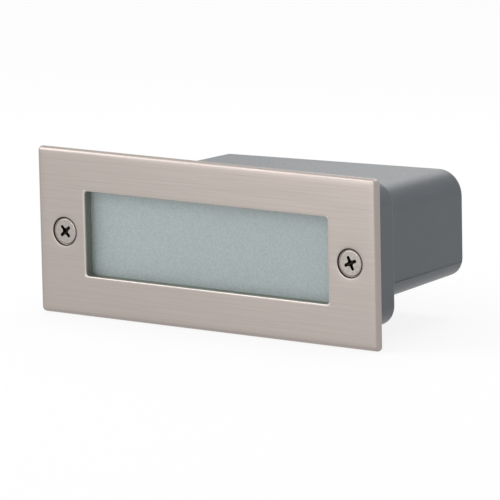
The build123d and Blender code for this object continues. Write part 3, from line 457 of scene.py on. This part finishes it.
def powder_coat(name, light, dark):
    """Die-cast aluminium under satin grey powder coat. The powder flows out into fine orange peel,
    and the cast surface under it gives a slow unevenness."""
    material, tree, place = new_material(name)
    peel = add_node(
        tree, "ShaderNodeTexNoise", {"Vector": place, "Scale": per_mm(0.9), "Detail": 2.0}
    )
    cast = add_node(
        tree, "ShaderNodeTexNoise", {"Vector": place, "Scale": per_mm(26.0), "Detail": 3.0}
    )
    tint = add_node(
        tree, "ShaderNodeMix", blend(cast.outputs["Fac"], dark, light), data_type="RGBA"
    )
    rough = add_node(tree, "ShaderNodeMapRange", noise_range(peel, low=0.3, high=0.38))
    bump = add_node(tree, "ShaderNodeBump", relief(peel, strength=0.5, depth_mm=0.012))
    inputs = {"Base Color": mixed(tint), "Roughness": rough.outputs[0], "Normal": bump.outputs[0]}
    shader = add_node(tree, "ShaderNodeBsdfPrincipled", inputs)
    add_node(tree, "ShaderNodeOutputMaterial", {"Surface": shader.outputs[0]})
    return material


def etched_glass(name, light, dark):
    """Float glass, etched with acid on both faces. The etch scatters the light, so the pane looks
    evenly pale, with a faint green from the glass and a fine sparkle. The sparkle is drawn coarser
    than the real etch, so that it shows."""
    material, tree, place = new_material(name)
    sparkle = add_node(
        tree, "ShaderNodeTexNoise", {"Vector": place, "Scale": per_mm(0.8), "Detail": 2.0}
    )
    clouds = add_node(
        tree, "ShaderNodeTexNoise", {"Vector": place, "Scale": per_mm(30.0), "Detail": 2.0}
    )
    mottled = add_node(tree, "ShaderNodeMapRange", noise_range(sparkle, 0.0, 1.0))
    tint = add_node(
        tree, "ShaderNodeMix", blend(mottled.outputs[0], dark, light), data_type="RGBA"
    )
    bump = add_node(tree, "ShaderNodeBump", relief(clouds, strength=0.4, depth_mm=0.05))
    inputs = {
        "Base Color": mixed(tint),
        "Roughness": 0.55,
        "IOR": 1.52,
        "Transmission Weight": 0.25,
        "Normal": bump.outputs[0],
    }
    shader = add_node(tree, "ShaderNodeBsdfPrincipled", inputs)
    add_node(tree, "ShaderNodeOutputMaterial", {"Surface": shader.outputs[0]})
    return material


# ==== Sizes and colours that a user would change ====
class StepLightSizes(bpy.types.PropertyGroup):
    """Sizes of the pieces that this file makes anew"""

    plate_width: bpy.props.FloatProperty(
        name="Plate width",
        description="Outside width of the faceplate",
        default=(PLATE_HIGH[0] - PLATE_LOW[0]) * MM,
        unit="LENGTH",
    )
    plate_height: bpy.props.FloatProperty(
        name="Plate height",
        description="Outside height of the faceplate",
        default=(PLATE_HIGH[2] - PLATE_LOW[2]) * MM,
        unit="LENGTH",
    )
    plate_depth: bpy.props.FloatProperty(
        name="Plate depth",
        description="Wall to front face",
        default=-PLATE_LOW[1] * MM,
        unit="LENGTH",
    )
    sheet: bpy.props.FloatProperty(
        name="Sheet",
        description="Thickness of the plate's sheet",
        default=1.0 * MM,
        unit="LENGTH",
    )
    edge: bpy.props.FloatProperty(
        name="Rolled edge",
        description="Radius of the plate's front edge",
        default=1.8 * MM,
        unit="LENGTH",
    )
    dimple: bpy.props.FloatProperty(
        name="Dimple",
        description="Diameter of the pressed countersink",
        default=12.2 * MM,
        unit="LENGTH",
    )
    thread_pitch: bpy.props.FloatProperty(
        name="Thread pitch",
        description="Pitch of the cover screws",
        default=0.8 * MM,
        unit="LENGTH",
    )


class StepLightColours(bpy.types.PropertyGroup):
    """Colours of the stage"""

    floor: bpy.props.FloatVectorProperty(
        name="Floor",
        description="Colour of the floor",
        default=linear("FAFAFA"),
        subtype="COLOR",
        size=3,
    )
    sky: bpy.props.FloatVectorProperty(
        name="Surroundings",
        description="Colour that lights the object",
        default=linear("F4F5F7"),
        subtype="COLOR",
        size=3,
    )
    sky_strength: bpy.props.FloatProperty(
        name="Surroundings strength",
        description="How much light comes from all round",
        default=0.62,
        min=0.0,
    )


# ==== Faceplate ====
PLATE_CORNER, SMALLEST_CORNER = 2.0, 0.25
CUT_EDGE = 0.2  # rounding of the plate's rear rim
LIP = 0.5  # rounding of the window's edge, which is deburred and catches the light
SHOULDER = 0.3  # rounding of the dimple's shoulder
DIMPLE_BACK_DEPTH = 2.7
DIMPLE_BACK_RADIUS = 6.5
CELL = 9.3  # half side of the square round each screw that is drawn with rings
ROUND = 7.0  # inside this distance the rings are true circles
DIMPLE_REACH = 8.8  # the dimple's depth is worked out inside this distance
HOLE = 2.75
RING_STEPS = np.array(
    [0.0, 0.7, 1.4, 2.1, HOLE, 3.5, 4.3, 5.0, 5.5, 5.8, 6.05, 6.25, 6.45, 6.65, 6.9, 7.6, 8.4, CELL]
)
BEYOND_STEPS, ACROSS_STEPS, CORNER_STEPS = 9, 61, 10  # points along the plate's outline
ROLLED_STEPS, SMALL_STEPS = 9, 5  # rows round the rolled edge and round the smaller edges
FRONT, EDGE, BACK = 1, 0, -1  # which side of the sheet a row of points is on
STUD_RADIUS, STUD_LENGTH, STUD_BEVEL, STUD_COLUMNS = 1.25, 4.0, 0.3, 24


def outline(half_width, half_height, radius):
    """A rounded rectangle as one closed line of points, started at the middle of the right side.
    Every outline has the same number of points on each side and corner, and the points beside the
    screws keep their heights, so that outlines can be joined point by point."""
    beside = np.concatenate([-RING_STEPS[:0:-1], RING_STEPS])
    corner_x = half_width - radius
    corner_z = half_height - radius
    beyond = CELL + (corner_z - CELL) * np.linspace(0, 1, BEYOND_STEPS)[1:]
    side = np.concatenate([-beyond[::-1], beside, beyond])
    across = np.linspace(corner_x, -corner_x, ACROSS_STEPS)
    bend = np.linspace(0, math.pi / 2, CORNER_STEPS)[1:-1]
    x = np.concatenate(
        [
            np.full(len(side), half_width),
            corner_x + radius * np.cos(bend),
            across,
            -corner_x - radius * np.sin(bend),
            np.full(len(side), -half_width),
            -corner_x - radius * np.cos(bend),
            -across,
            corner_x + radius * np.sin(bend),
        ]
    )
    z = np.concatenate(
        [
            side,
            corner_z + radius * np.sin(bend),
            np.full(len(across), half_height),
            corner_z + radius * np.cos(bend),
            -side,
            -corner_z - radius * np.sin(bend),
            np.full(len(across), -half_height),
            -corner_z - radius * np.cos(bend),
        ]
    )
    return x, z


def ring_places(x, z):
    """Inside the square round each screw the grid's square rings turn to circles: a point on the
    square ring of half side c goes to the circle of radius c at the angle of its place along the
    ring's side. Between ROUND and CELL the circles ease back to squares. Returns x, z, the distance
    from the screw's axis and the half side of the point's square ring."""
    tiny = 1e-9
    dx = x - np.sign(x) * SCREW_X
    square = np.maximum(np.abs(dx), np.abs(z))
    inside = square <= CELL + tiny
    wide = np.abs(dx) >= np.abs(z)
    safe_dx = np.where(np.abs(dx) < tiny, tiny, dx)
    safe_z = np.where(np.abs(z) < tiny, tiny, z)
    eighth = math.pi / 4
    angle = np.where(wide, eighth * z / safe_dx, 2 * eighth - eighth * dx / safe_z)
    reach = np.where(wide, dx, z)
    ease = smooth_step(square, ROUND, CELL)
    new_dx = np.where(inside, reach * np.cos(angle) * (1 - ease) + dx * ease, dx)
    new_z = np.where(inside, reach * np.sin(angle) * (1 - ease) + z * ease, z)
    distance = np.where(inside, np.hypot(new_dx, new_z), CELL)
    return np.sign(x) * SCREW_X + new_dx, new_z, distance, square


def plate_rows(half_w, half_h, front, back, edge):
    """The rows of the plate's section, each as x, z, depth and side, from the rear rim up the
    outside, over the front, through the window and back along the inside."""
    turn = np.linspace(0, math.pi / 2, ROLLED_STEPS)
    small = np.linspace(0, math.pi / 2, SMALL_STEPS)

    def ring(inset, y, side=EDGE):
        corner = max(PLATE_CORNER - inset, SMALLEST_CORNER)
        return (*outline(half_w - inset, half_h - inset, corner), y, side)

    def window(wider, y):
        corner = WINDOW_CORNER + wider
        return (*outline(WINDOW_HALF_WIDTH + wider, WINDOW_HALF_HEIGHT + wider, corner), y, EDGE)

    rows = [ring(CUT_EDGE * (1 - math.sin(k)), -CUT_EDGE * (1 - math.cos(k))) for k in small]
    rows += [ring(edge * (1 - math.cos(k)), front + edge * (1 - math.sin(k))) for k in turn]
    # across the face, eased from the plate's outline to the window's
    outer = outline(half_w - edge, half_h - edge, PLATE_CORNER - edge)
    inner = window(LIP, front)
    window_edge = WINDOW_HALF_WIDTH + LIP
    steps = np.concatenate([-RING_STEPS[:0:-1], RING_STEPS]) + SCREW_X
    share = np.append((steps[::-1] - window_edge) / (half_w - edge - window_edge), 0.0)
    face = [[i + (o - i) * v for i, o in zip(inner[:2], outer)] for v in share]
    rows += [(x, z, front, FRONT) for x, z in face]
    rows += [window(LIP * (1 - math.sin(k)), front + LIP * (1 - math.cos(k))) for k in small[1:]]
    rows.append(window(0.0, back))
    rows += [(x, z, back, BACK) for x, z in face[::-1]]
    sheet = back - front
    rows += [ring(sheet, back), ring(sheet, -CUT_EDGE)]
    return rows


def hole_walls(hole, front_rows, back_rows, columns):
    """Quads that join the front to the back round the quads left open for the screws."""
    above = np.vstack([np.zeros((1, columns), bool), hole[:-1]])
    beside = np.roll(hole, 1, axis=1)
    walls = []
    for before, down, along in ((above, 0, 1), (beside, 1, 0)):
        row, column = np.nonzero(hole != before)
        start, end = (row, column), (row + down, (column + along) % columns)
        corners = ((front_rows, start), (front_rows, end), (back_rows, end), (back_rows, start))
        walls.append(np.stack([rows[r] * columns + c for rows, (r, c) in corners], axis=1))
    return walls


def plate_surface(width, height, depth, sheet, edge, dimple):
    """A pressed tray. Its section runs from the rear rim up the outside, round the rolled edge,
    across the front to the window, through the sheet and back along the inside, and that section
    is carried round the plate's outline, easing from the plate's rounded rectangle to the window's.
    Round each screw the front sinks as a 45 degree cone: depth = half of (s + the root of
    s squared + k squared), with s the distance inside the dimple's edge and k the shoulder's
    rounding."""
    rows = plate_rows(width / 2, height / 2, -depth, -depth + sheet, edge)
    x = np.array([r[0] for r in rows])
    z = np.array([r[1] for r in rows])
    row_count, columns = x.shape
    y = np.array([np.full(columns, r[2]) for r in rows])
    side = np.array([np.full(columns, r[3]) for r in rows])
    on_face = side != EDGE
    new_x, new_z, distance, square = ring_places(x, z)
    x = np.where(on_face, new_x, x)
    z = np.where(on_face, new_z, z)
    inside_edge = dimple / 2 - distance
    sunk = 0.5 * (inside_edge + np.sqrt(inside_edge ** 2 + SHOULDER ** 2))
    pushed = np.clip(DIMPLE_BACK_RADIUS - distance, 0, DIMPLE_BACK_DEPTH)
    near = distance < DIMPLE_REACH
    y = y + np.where((side == FRONT) & near, sunk, 0)
    y = y + np.where((side == BACK) & near, pushed, 0)
    # leave out the quads inside the screw holes, and join front to back round each hole
    quads = grid_quads(row_count, columns, wrap_rows=True)
    far = 99.0  # in place of the ring's size on rows that no hole goes through
    corners = np.where(on_face, square, far).ravel()[quads]
    in_hole = corners.max(axis=1) <= HOLE + 1e-6
    front_rows = np.flatnonzero(side[:, 0] == FRONT)
    back_rows = np.flatnonzero(side[:, 0] == BACK)[::-1]
    hole = in_hole.reshape(row_count, columns)[front_rows[:-1]]
    quads = np.concatenate([quads[~in_hole]] + hole_walls(hole, front_rows, back_rows, columns))
    points = np.stack([x.ravel(), y.ravel(), z.ravel()], axis=1)
    used = np.unique(quads)
    renumber = np.zeros(len(points), int)
    renumber[used] = np.arange(len(used))
    return points[used], renumber[quads]


def stud_surface(x, back, z):
    """A weld stud on the plate's back: a cylinder with a bevelled end, turned about its axis."""
    end = back + STUD_LENGTH
    radii = np.array([0, STUD_RADIUS, STUD_RADIUS, STUD_RADIUS - STUD_BEVEL, 0])[:, None]
    along = np.array([back, back, end - STUD_BEVEL, end, end])[:, None]
    turn = ring_angles(STUD_COLUMNS)
    places = (x + radii * np.cos(turn), along + 0 * turn, z + radii * np.sin(turn))
    return np.stack([p.ravel() for p in places], axis=1), grid_quads(len(radii), STUD_COLUMNS)


class STEPLIGHT_OT_faceplate(bpy.types.Operator):
    """Makes the pressed steel faceplate with its rolled edge, window and dimples"""

    bl_idname = "steplight.faceplate"
    bl_label = "Faceplate"

    def execute(self, context):
        sizes = context.scene.step_light_sizes
        width, height, depth = sizes.plate_width, sizes.plate_height, sizes.plate_depth
        plate = [v / MM for v in (width, height, depth, sizes.sheet, sizes.edge, sizes.dimple)]
        back = (sizes.sheet - depth) / MM
        parts = [plate_surface(*plate)]
        for x in (-STUD_X, STUD_X):
            for z in (-STUD_Z, STUD_Z):
                parts.append(stud_surface(x, back, z))
        points, quads = stack(parts)
        # painted shade and light: a dark line round each dimple's shoulder stands in for the shadow
        # in the gap round the screw's head, and a painted highlight makes the window's edge
        # brighter than the face
        steel = brushed_sheet(
            "brushed_stainless_sheet",
            "A9A09B",
            "9F9691",
            stroke_mm=40.0,
            spacing_mm=0.38,
            smoothest=0.3,
            roughest=0.4,
            depth_mm=0.004,
            painted_light_marks=(("1E1916", shoulder_shadow_line), ("BAB3AE", painted_window_highlight)),
        )
        make_piece("faceplate_sheet", points, quads, "cover", steel, "faceplate")
        return {"FINISHED"}


# ==== Cover screws ====
HEAD_RADIUS, SHANK_RADIUS, POINT_RADIUS = 5.3, 2.7, 1.1
RIM_ROUND = 0.4  # rounding of the head's rim
CONE_START, BODY_START = 0.42, 3.2  # below the head's face
POINT_LENGTH = 3.0
THREAD_DEPTH = 0.42
THREAD_START, THREAD_FULL = 4.2, 5.0  # below the head's face
THREAD_END, BODY_END = 0.1, 0.05  # before the tip
TURN_STEPS = 6  # rings in one turn of the thread
SCREW_COLUMNS = 144
FINE_RADIUS = 3.6  # the head's rings are close inside this radius, for the cross
FINE_RINGS, OUTER_RINGS, RIM_RINGS, CONE_RINGS = 37, 8, 6, 8
CROSS_NARROWING = 0.15  # each wing's end against its root
CROSS_MIDDLE, CROSS_MIDDLE_SLOPE = 1.5, 0.8  # the filled-in middle between the wings
CROSS_WALL_SLOPE = 6.0
CROSS_FLOOR_RISE = 0.55  # floor at the wings' ends against the middle


def cross_depth(x, z, turn):
    """Depth of the cross recess at each point of the head. The distance inside the outline of two
    crossed bars with round ends and a filled-in middle, times the walls' slope, and no deeper than
    a shallow cone that is deepest in the middle."""
    c, s = math.cos(math.radians(turn)), math.sin(math.radians(turn))
    u, v = np.abs(x * c + z * s), np.abs(-x * s + z * c)
    along, beside = np.maximum(u, v), np.minimum(u, v)
    half_span = CROSS_SPAN / 2
    narrow = CROSS_WIDTH / 2 * (1 - CROSS_NARROWING * along / half_span)
    end = narrow - np.hypot(beside, np.maximum(along - (half_span - narrow), 0))
    middle = CROSS_MIDDLE - (u + v) * CROSS_MIDDLE_SLOPE
    inside = np.maximum(end, middle)
    floor = CROSS_DEPTH * (1 - CROSS_FLOOR_RISE * np.hypot(x, z) / half_span)
    return np.clip(np.minimum(inside * CROSS_WALL_SLOPE, floor), 0, None)


def cover_screw_surface(centre_x, turn, pitch):
    """A countersunk screw. Rings run out across the head, round its rim, down the 45 degree cone
    and along the shank, where the radius rises and falls with the turn and the depth together,
    which makes the thread: radius = middle + height times a triangle wave of (depth over pitch
    minus turn)."""
    rim = HEAD_RADIUS - RIM_ROUND
    fine = np.linspace(0, FINE_RADIUS, FINE_RINGS)
    disc = np.concatenate([fine, np.linspace(FINE_RADIUS, rim, OUTER_RINGS)[1:]])
    bend = np.linspace(0, math.pi / 2, RIM_RINGS)[1:]
    cone = (HEAD_RADIUS - SHANK_RADIUS) * np.linspace(0, 1, CONE_RINGS)[1:]
    body_y = np.arange(SCREW_TOP + BODY_START, SCREW_TIP - BODY_END, pitch / TURN_STEPS)
    taper = np.clip((SCREW_TIP - body_y) / POINT_LENGTH, 0, 1)
    radii = [
        disc,
        rim + RIM_ROUND * np.sin(bend),
        HEAD_RADIUS - cone,
        POINT_RADIUS + (SHANK_RADIUS - POINT_RADIUS) * taper,
        [POINT_RADIUS, 0.0],
    ]
    along = [
        np.full(len(disc), SCREW_TOP),
        SCREW_TOP + RIM_ROUND * (1 - np.cos(bend)),
        SCREW_TOP + CONE_START + cone,
        body_y,
        [SCREW_TIP, SCREW_TIP],
    ]
    angle = ring_angles(SCREW_COLUMNS)
    radii = np.concatenate(radii)[:, None] + 0 * angle
    along = np.concatenate(along)[:, None] + 0 * angle
    threaded = smooth_step(along, SCREW_TOP + THREAD_START, SCREW_TOP + THREAD_FULL)
    threaded = threaded * (along < SCREW_TIP - THREAD_END)
    wave = np.abs(((along / pitch - angle / (2 * math.pi)) % 1.0) * 2 - 1)
    radii = radii - threaded * THREAD_DEPTH * wave
    x, z = radii * np.cos(angle), radii * np.sin(angle)
    on_disc = np.arange(len(radii))[:, None] < len(disc)
    along = along + np.where(on_disc, cross_depth(x, z, turn), 0)
    points = np.stack([(centre_x + x).ravel(), along.ravel(), z.ravel()], axis=1)
    return points, grid_quads(len(radii), SCREW_COLUMNS)


class STEPLIGHT_OT_cover_screws(bpy.types.Operator):
    """Makes the two countersunk cover screws with their cross recesses and threads"""

    bl_idname = "steplight.cover_screws"
    bl_label = "Cover screws"

    def execute(self, context):
        pitch = context.scene.step_light_sizes.thread_pitch / MM
        for name, node, body, x, turn in (
            ("cover_screw_at_left", "cover_screw_left", "left_screw", -SCREW_X, 42.0),
            ("cover_screw_at_right", "cover_screw_right", "right_screw", SCREW_X, 24.0),
        ):
            points, quads = cover_screw_surface(x, turn, pitch)
            # recess is the colour of the painted shade in each screw's cross
            steel = turned_stainless_steel(
                "turned_stainless_" + body, "ADA6A0", "9A938D", recess="2A2320", centre_x=x
            )
            make_piece(name, points, quads, body, steel, node, sharp=38.0)
        return {"FINISHED"}


# ==== The cast wall box and the gland ====
class STEPLIGHT_OT_wall_box(bpy.types.Operator):
    """Dresses the cast housing, with its rounded edges smoothed"""

    bl_idname = "steplight.wall_box"
    bl_label = "Wall box"

    def execute(self, context):
        paint = powder_coat("grey_powder_coat", "52575C", "4B5055")
        merged_copy("wall_box", "housing", "case", paint)
        return {"FINISHED"}


class STEPLIGHT_OT_cable_gland(bpy.types.Operator):
    """Dresses the cable gland on the left end of the deep body"""

    bl_idname = "steplight.cable_gland"
    bl_label = "Cable gland"

    def execute(self, context):
        # glass-filled nylon from a spark-eroded mould: a dull black with a fine even grain
        nylon = moulded(
            "moulded_black_nylon", "26272A", "1C1D1F", roughness=0.42, grain_mm=0.5, depth_mm=0.01
        )
        merged_copy("gland_cap_nut", "gland_nut", "cable_nut", nylon)
        merged_copy("gland_entry", "gland_body", "case", nylon)
        return {"FINISHED"}


# ==== CAD nodes that stay ====
# Name, light and dark colour, roughness, size and depth of the grain in mm, and the nodes.
MOULDED_FINISHES = (
    # post-cured rubber: grey-green and satin, with soft edges to its highlights
    ("moulded_silicone", "787F73", "6E766A", 0.5, 0.8, 0.01, ("glass_gasket", "rim_gasket")),
    # carbon-filled rubber: nearly black and dull
    (
        "moulded_nitrile_rubber", "202022", "19191B", 0.6, 0.5, 0.01,
        ("screw_seals", "gland_washer", "gland_seal"),
    ),
    # polished mould: bright white with a clear highlight
    ("moulded_white_polycarbonate", "F0F0EC", "E8E8E4", 0.3, 0.7, 0.004, ("reflector",)),
    # screen-printed lacquer: flat white, a little softer than the reflector
    ("white_solder_resist", "EDEDE9", "E4E4E0", 0.45, 0.4, 0.003, ("led_board",)),
    # poured silicone over yellow powder: warm yellow domes with a wet gloss
    ("phosphor_in_silicone", "EBCB55", "DDB840", 0.25, 0.3, 0.004, ("led_emitters",)),
    # etched mould: a fine sandy texture that hides scratches
    ("textured_driver_case", "DEDEDA", "D4D4D0", 0.55, 0.5, 0.02, ("led_driver",)),
    # unpigmented nylon: a milky cream colour
    ("natural_nylon", "DAD6C6", "CFCBBA", 0.4, 0.6, 0.006, ("terminal_block",)),
    # the same nylon as the gland's, seen inside the box
    ("moulded_black_nylon_inside", "26272A", "1C1D1F", 0.42, 0.5, 0.01, ("gland_locknut",)),
    # extruded insulation: smooth and softly glossy, in the colour of its conductor
    ("pvc_lead_brown", "5A3220", "4E2A1A", 0.35, 0.8, 0.004, ("mains_lead_live",)),
    ("pvc_lead_blue", "2B5EA8", "24528F", 0.35, 0.8, 0.004, ("mains_lead_neutral",)),
    ("pvc_lead_red", "B02A22", "9A231D", 0.35, 0.8, 0.004, ("led_lead_positive",)),
    ("pvc_lead_black", "26262A", "1E1E20", 0.35, 0.8, 0.004, ("led_lead_negative",)),
)
# Name, light and dark colour, roughness, size of the mottling in mm, and the nodes.
METAL_FINISHES = (
    # cold-rolled strip, bent: grey steel with broad soft patches
    ("bent_spring_steel", "B8B6B2", "A6A4A0", 0.32, 2.0, ("glass_clips",)),
    # bright zinc with a blue passivation: cool and sharp
    (
        "zinc_plated_steel", "C4C8CC", "AEB4BA", 0.28, 1.2,
        (
            "clip_nuts", "tray_screws", "driver_screws", "block_screws", "terminal_screws",
            "earth_screw",
        ),
    ),
    # solder that flowed and froze: small bright cones
    ("reflowed_solder", "C9CACB", "B0B2B4", 0.22, 0.6, ("solder_joints",)),
    # drawn bar: warm yellow and fairly bright
    ("drawn_brass", "D0B06A", "B8964E", 0.25, 1.5, ("terminal_cages",)),
    # tinned strip: pale grey, with a fine crystal mottling
    ("tinned_copper", "C6C5C2", "B2B1AE", 0.3, 0.8, ("earth_tag",)),
)
STRIPE_HALF_WIDTH = 0.42
STRIPE_LIFT = 0.1  # the stripe's middle above the lead's


def dress(node, finish):
    """Gives a CAD node its finish, on the object and not on the shared mesh."""
    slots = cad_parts[node].material_slots
    if not slots:
        raise RuntimeError("the node " + node + " has no material slot")
    for one in slots:
        one.link = "OBJECT"
        one.material = finish


class STEPLIGHT_OT_inner_parts(bpy.types.Operator):
    """Gives every remaining node the finish of its real material"""

    bl_idname = "steplight.inner_parts"
    bl_label = "Glass, seals and gear"

    def execute(self, context):
        for *finish, nodes in MOULDED_FINISHES:
            made = moulded(*finish)
            for node in nodes:
                dress(node, made)
        for *finish, nodes in METAL_FINISHES:
            made = plated_metal(*finish)
            for node in nodes:
                dress(node, made)
        dress("diffuser_glass", etched_glass("acid_etched_glass", "BFC9C9", "ABB7B7"))
        # mill-finish aluminium: pale, with the faint long lines of the rolls
        sheet = brushed_sheet(
            "rolled_aluminium_sheet",
            "CFD1D3",
            "C2C4C6",
            stroke_mm=60.0,
            spacing_mm=0.8,
            smoothest=0.34,
            roughest=0.46,
            depth_mm=0.002,
        )
        dress("gear_tray", sheet)
        # extruded insulation like the other leads, green with the printed yellow stripe
        low, high = box_mm("earth_lead")
        stripe = ("D8C630", (low[2] + high[2]) / 2 + STRIPE_LIFT, STRIPE_HALF_WIDTH)
        lead = {"roughness": 0.35, "grain_mm": 0.8, "depth_mm": 0.004}
        green = moulded("pvc_lead_earth", "4F8A36", "467C30", stripe=stripe, **lead)
        dress("earth_lead", green)
        return {"FINISHED"}


# ==== Stage ====
CAMERA_BACK = (35.571, 10.722, -1.176)  # azimuth, elevation and roll in degrees
CAMERA_DISTANCE = 2093.3  # this, the aim and the lens are in millimetres
CAMERA_AIM = (22.756, -2.4, 0.951)
CAMERA_LENS = 372.68
FLOOR_REACH = 6.0  # half the floor's side, in metres
FLOOR_GAP = 0.0002  # the floor lies this far below the light, in metres
FLOOR_LIFT = 0.86  # share of plain white in what the camera sees of the floor
LAMPS = (  # name, place, two sides and power, in metres and watts
    ("soft_key", (-1.4, -1.0, 1.1), (1.4, 1.2), 16.0),
    ("soft_back", (-0.12, 0.45, 0.25), (0.3, 0.2), 0.18),
    ("soft_top", (0.0, 0.3, 1.2), (1.0, 0.6), 4.5),
    ("low_front", (-0.36, -0.9, 0.04), (0.3, 0.12), 1.1),
)


def place_camera():
    """The camera looks along the photo's direction: back is the unit vector from the aim to the
    camera, right and up are square to it and turned by the roll."""
    azimuth, elevation, roll = (math.radians(v) for v in CAMERA_BACK)
    back = Vector(
        (
            math.sin(azimuth) * math.cos(elevation),
            -math.cos(azimuth) * math.cos(elevation),
            math.sin(elevation),
        )
    )
    right = Vector((0, 0, 1)).cross(back).normalized()
    up = back.cross(right)
    turned_right = right * math.cos(roll) + up * math.sin(roll)
    turned_up = up * math.cos(roll) - right * math.sin(roll)
    data = bpy.data.cameras.new("photo_camera")
    data.lens = CAMERA_LENS
    data.sensor_width = 36.0
    data.clip_start = 0.05
    data.clip_end = 20.0
    camera = bpy.data.objects.new("photo_camera", data)
    bpy.context.scene.collection.objects.link(camera)
    place = Vector(CAMERA_AIM) * MM + back * CAMERA_DISTANCE * MM
    facing = Matrix((turned_right, turned_up, back)).transposed().to_4x4()
    camera.matrix_world = Matrix.Translation(place) @ facing
    bpy.context.scene.camera = camera


def area_light(name, place, sides, power):
    """A rectangular soft light that faces the origin."""
    data = bpy.data.lights.new(name, "AREA")
    data.shape = "RECTANGLE"
    data.size, data.size_y = sides
    data.energy = power
    light = bpy.data.objects.new(name, data)
    bpy.context.scene.collection.objects.link(light)
    light.location = place
    light.rotation_euler = (Vector() - Vector(place)).to_track_quat("-Z", "Y").to_euler()


def seen_directly(tree):
    """1 for what the camera sees, also in a mirror or through glass, and 0 for light on matt
    surfaces."""
    path = add_node(tree, "ShaderNodeLightPath").outputs
    direct = add_node(
        tree,
        "ShaderNodeMath",
        {0: path["Is Camera Ray"], 1: path["Is Transmission Ray"]},
        operation="MAXIMUM",
    )
    seen = {0: direct.outputs[0], 1: path["Is Glossy Ray"]}
    return add_node(tree, "ShaderNodeMath", seen, operation="MAXIMUM").outputs[0]


def make_floor(colour):
    """A flat floor under the light. It is matt paper that takes the light's shadow, mixed with
    plain white where the camera sees it, so that it matches the photo's white ground."""
    low = CAD_BOX[0].z - FLOOR_GAP
    square = ((-1, -1), (1, -1), (1, 1), (-1, 1))
    corners = [(x * FLOOR_REACH, y * FLOOR_REACH, low) for x, y in square]
    mesh = bpy.data.meshes.new("studio_floor")
    mesh.from_pydata(corners, [], [(0, 1, 2, 3)])
    floor = bpy.data.objects.new("studio_floor", mesh)
    bpy.context.scene.collection.objects.link(floor)
    paper, tree, _ = new_material("matt_white_paper")
    matt = add_node(
        tree, "ShaderNodeBsdfPrincipled", {"Base Color": (*colour, 1.0), "Roughness": 0.9}
    )
    glow = add_node(
        tree, "ShaderNodeEmission", {"Color": (1.0, 1.0, 1.0, 1.0), "Strength": 1.0}
    )
    lift = add_node(
        tree, "ShaderNodeMath", {0: seen_directly(tree), 1: FLOOR_LIFT}, operation="MULTIPLY"
    )
    both = {0: lift.outputs[0], 1: matt.outputs[0], 2: glow.outputs[0]}
    shader = add_node(tree, "ShaderNodeMixShader", both)
    add_node(tree, "ShaderNodeOutputMaterial", {"Surface": shader.outputs[0]})
    mesh.materials.append(paper)


def make_surroundings(colour, strength):
    """Even soft light from all round, white where it is seen directly."""
    world = bpy.data.worlds.new("studio")
    bpy.context.scene.world = world
    world.use_nodes = True
    tree = world.node_tree
    tree.nodes.clear()
    around = add_node(
        tree, "ShaderNodeBackground", {"Color": (*colour, 1.0), "Strength": strength}
    )
    white = add_node(
        tree, "ShaderNodeBackground", {"Color": (1.0, 1.0, 1.0, 1.0), "Strength": 1.0}
    )
    both = {0: seen_directly(tree), 1: around.outputs[0], 2: white.outputs[0]}
    shader = add_node(tree, "ShaderNodeMixShader", both)
    add_node(tree, "ShaderNodeOutputWorld", {"Surface": shader.outputs[0]})


class STEPLIGHT_OT_stage(bpy.types.Operator):
    """Makes the pale floor, the soft studio light and the camera"""

    bl_idname = "steplight.stage"
    bl_label = "Stage"

    def execute(self, context):
        colours = context.scene.step_light_colours
        make_floor(colours.floor)
        make_surroundings(colours.sky, colours.sky_strength)
        for lamp in LAMPS:
            area_light(*lamp)
        place_camera()
        context.scene.view_settings.view_transform = "Standard"
        return {"FINISHED"}


# ==== Panel and registration ====
class STEPLIGHT_PT_panel(bpy.types.Panel):
    """Lists the step light's pieces, sizes and colours"""

    bl_idname = "STEPLIGHT_PT_panel"
    bl_label = "Step Light"
    bl_space_type = "VIEW_3D"
    bl_region_type = "UI"
    bl_category = "Step Light"

    def draw(self, context):
        layout = self.layout
        for operator in OPERATORS:
            layout.operator(operator.bl_idname)
        for group in (context.scene.step_light_sizes, context.scene.step_light_colours):
            box = layout.box()
            for name in group.bl_rna.properties.keys():
                if name not in ("rna_type", "name"):
                    box.prop(group, name)


OPERATORS = (
    STEPLIGHT_OT_inner_parts,
    STEPLIGHT_OT_faceplate,
    STEPLIGHT_OT_cover_screws,
    STEPLIGHT_OT_wall_box,
    STEPLIGHT_OT_cable_gland,
    STEPLIGHT_OT_stage,
)
CLASSES = (StepLightSizes, StepLightColours) + OPERATORS + (STEPLIGHT_PT_panel,)


def register():
    for one in CLASSES:
        bpy.utils.register_class(one)
    bpy.types.Scene.step_light_sizes = bpy.props.PointerProperty(type=StepLightSizes)
    bpy.types.Scene.step_light_colours = bpy.props.PointerProperty(type=StepLightColours)


def unregister():
    del bpy.types.Scene.step_light_colours
    del bpy.types.Scene.step_light_sizes
    for one in reversed(CLASSES):
        bpy.utils.unregister_class(one)


def main():
    """Registers the classes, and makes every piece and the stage."""
    register()
    bpy.ops.steplight.inner_parts()
    bpy.ops.steplight.faceplate()
    bpy.ops.steplight.cover_screws()
    bpy.ops.steplight.wall_box()
    bpy.ops.steplight.cable_gland()
    bpy.ops.steplight.stage()


if __name__ == "__main__":
    main()
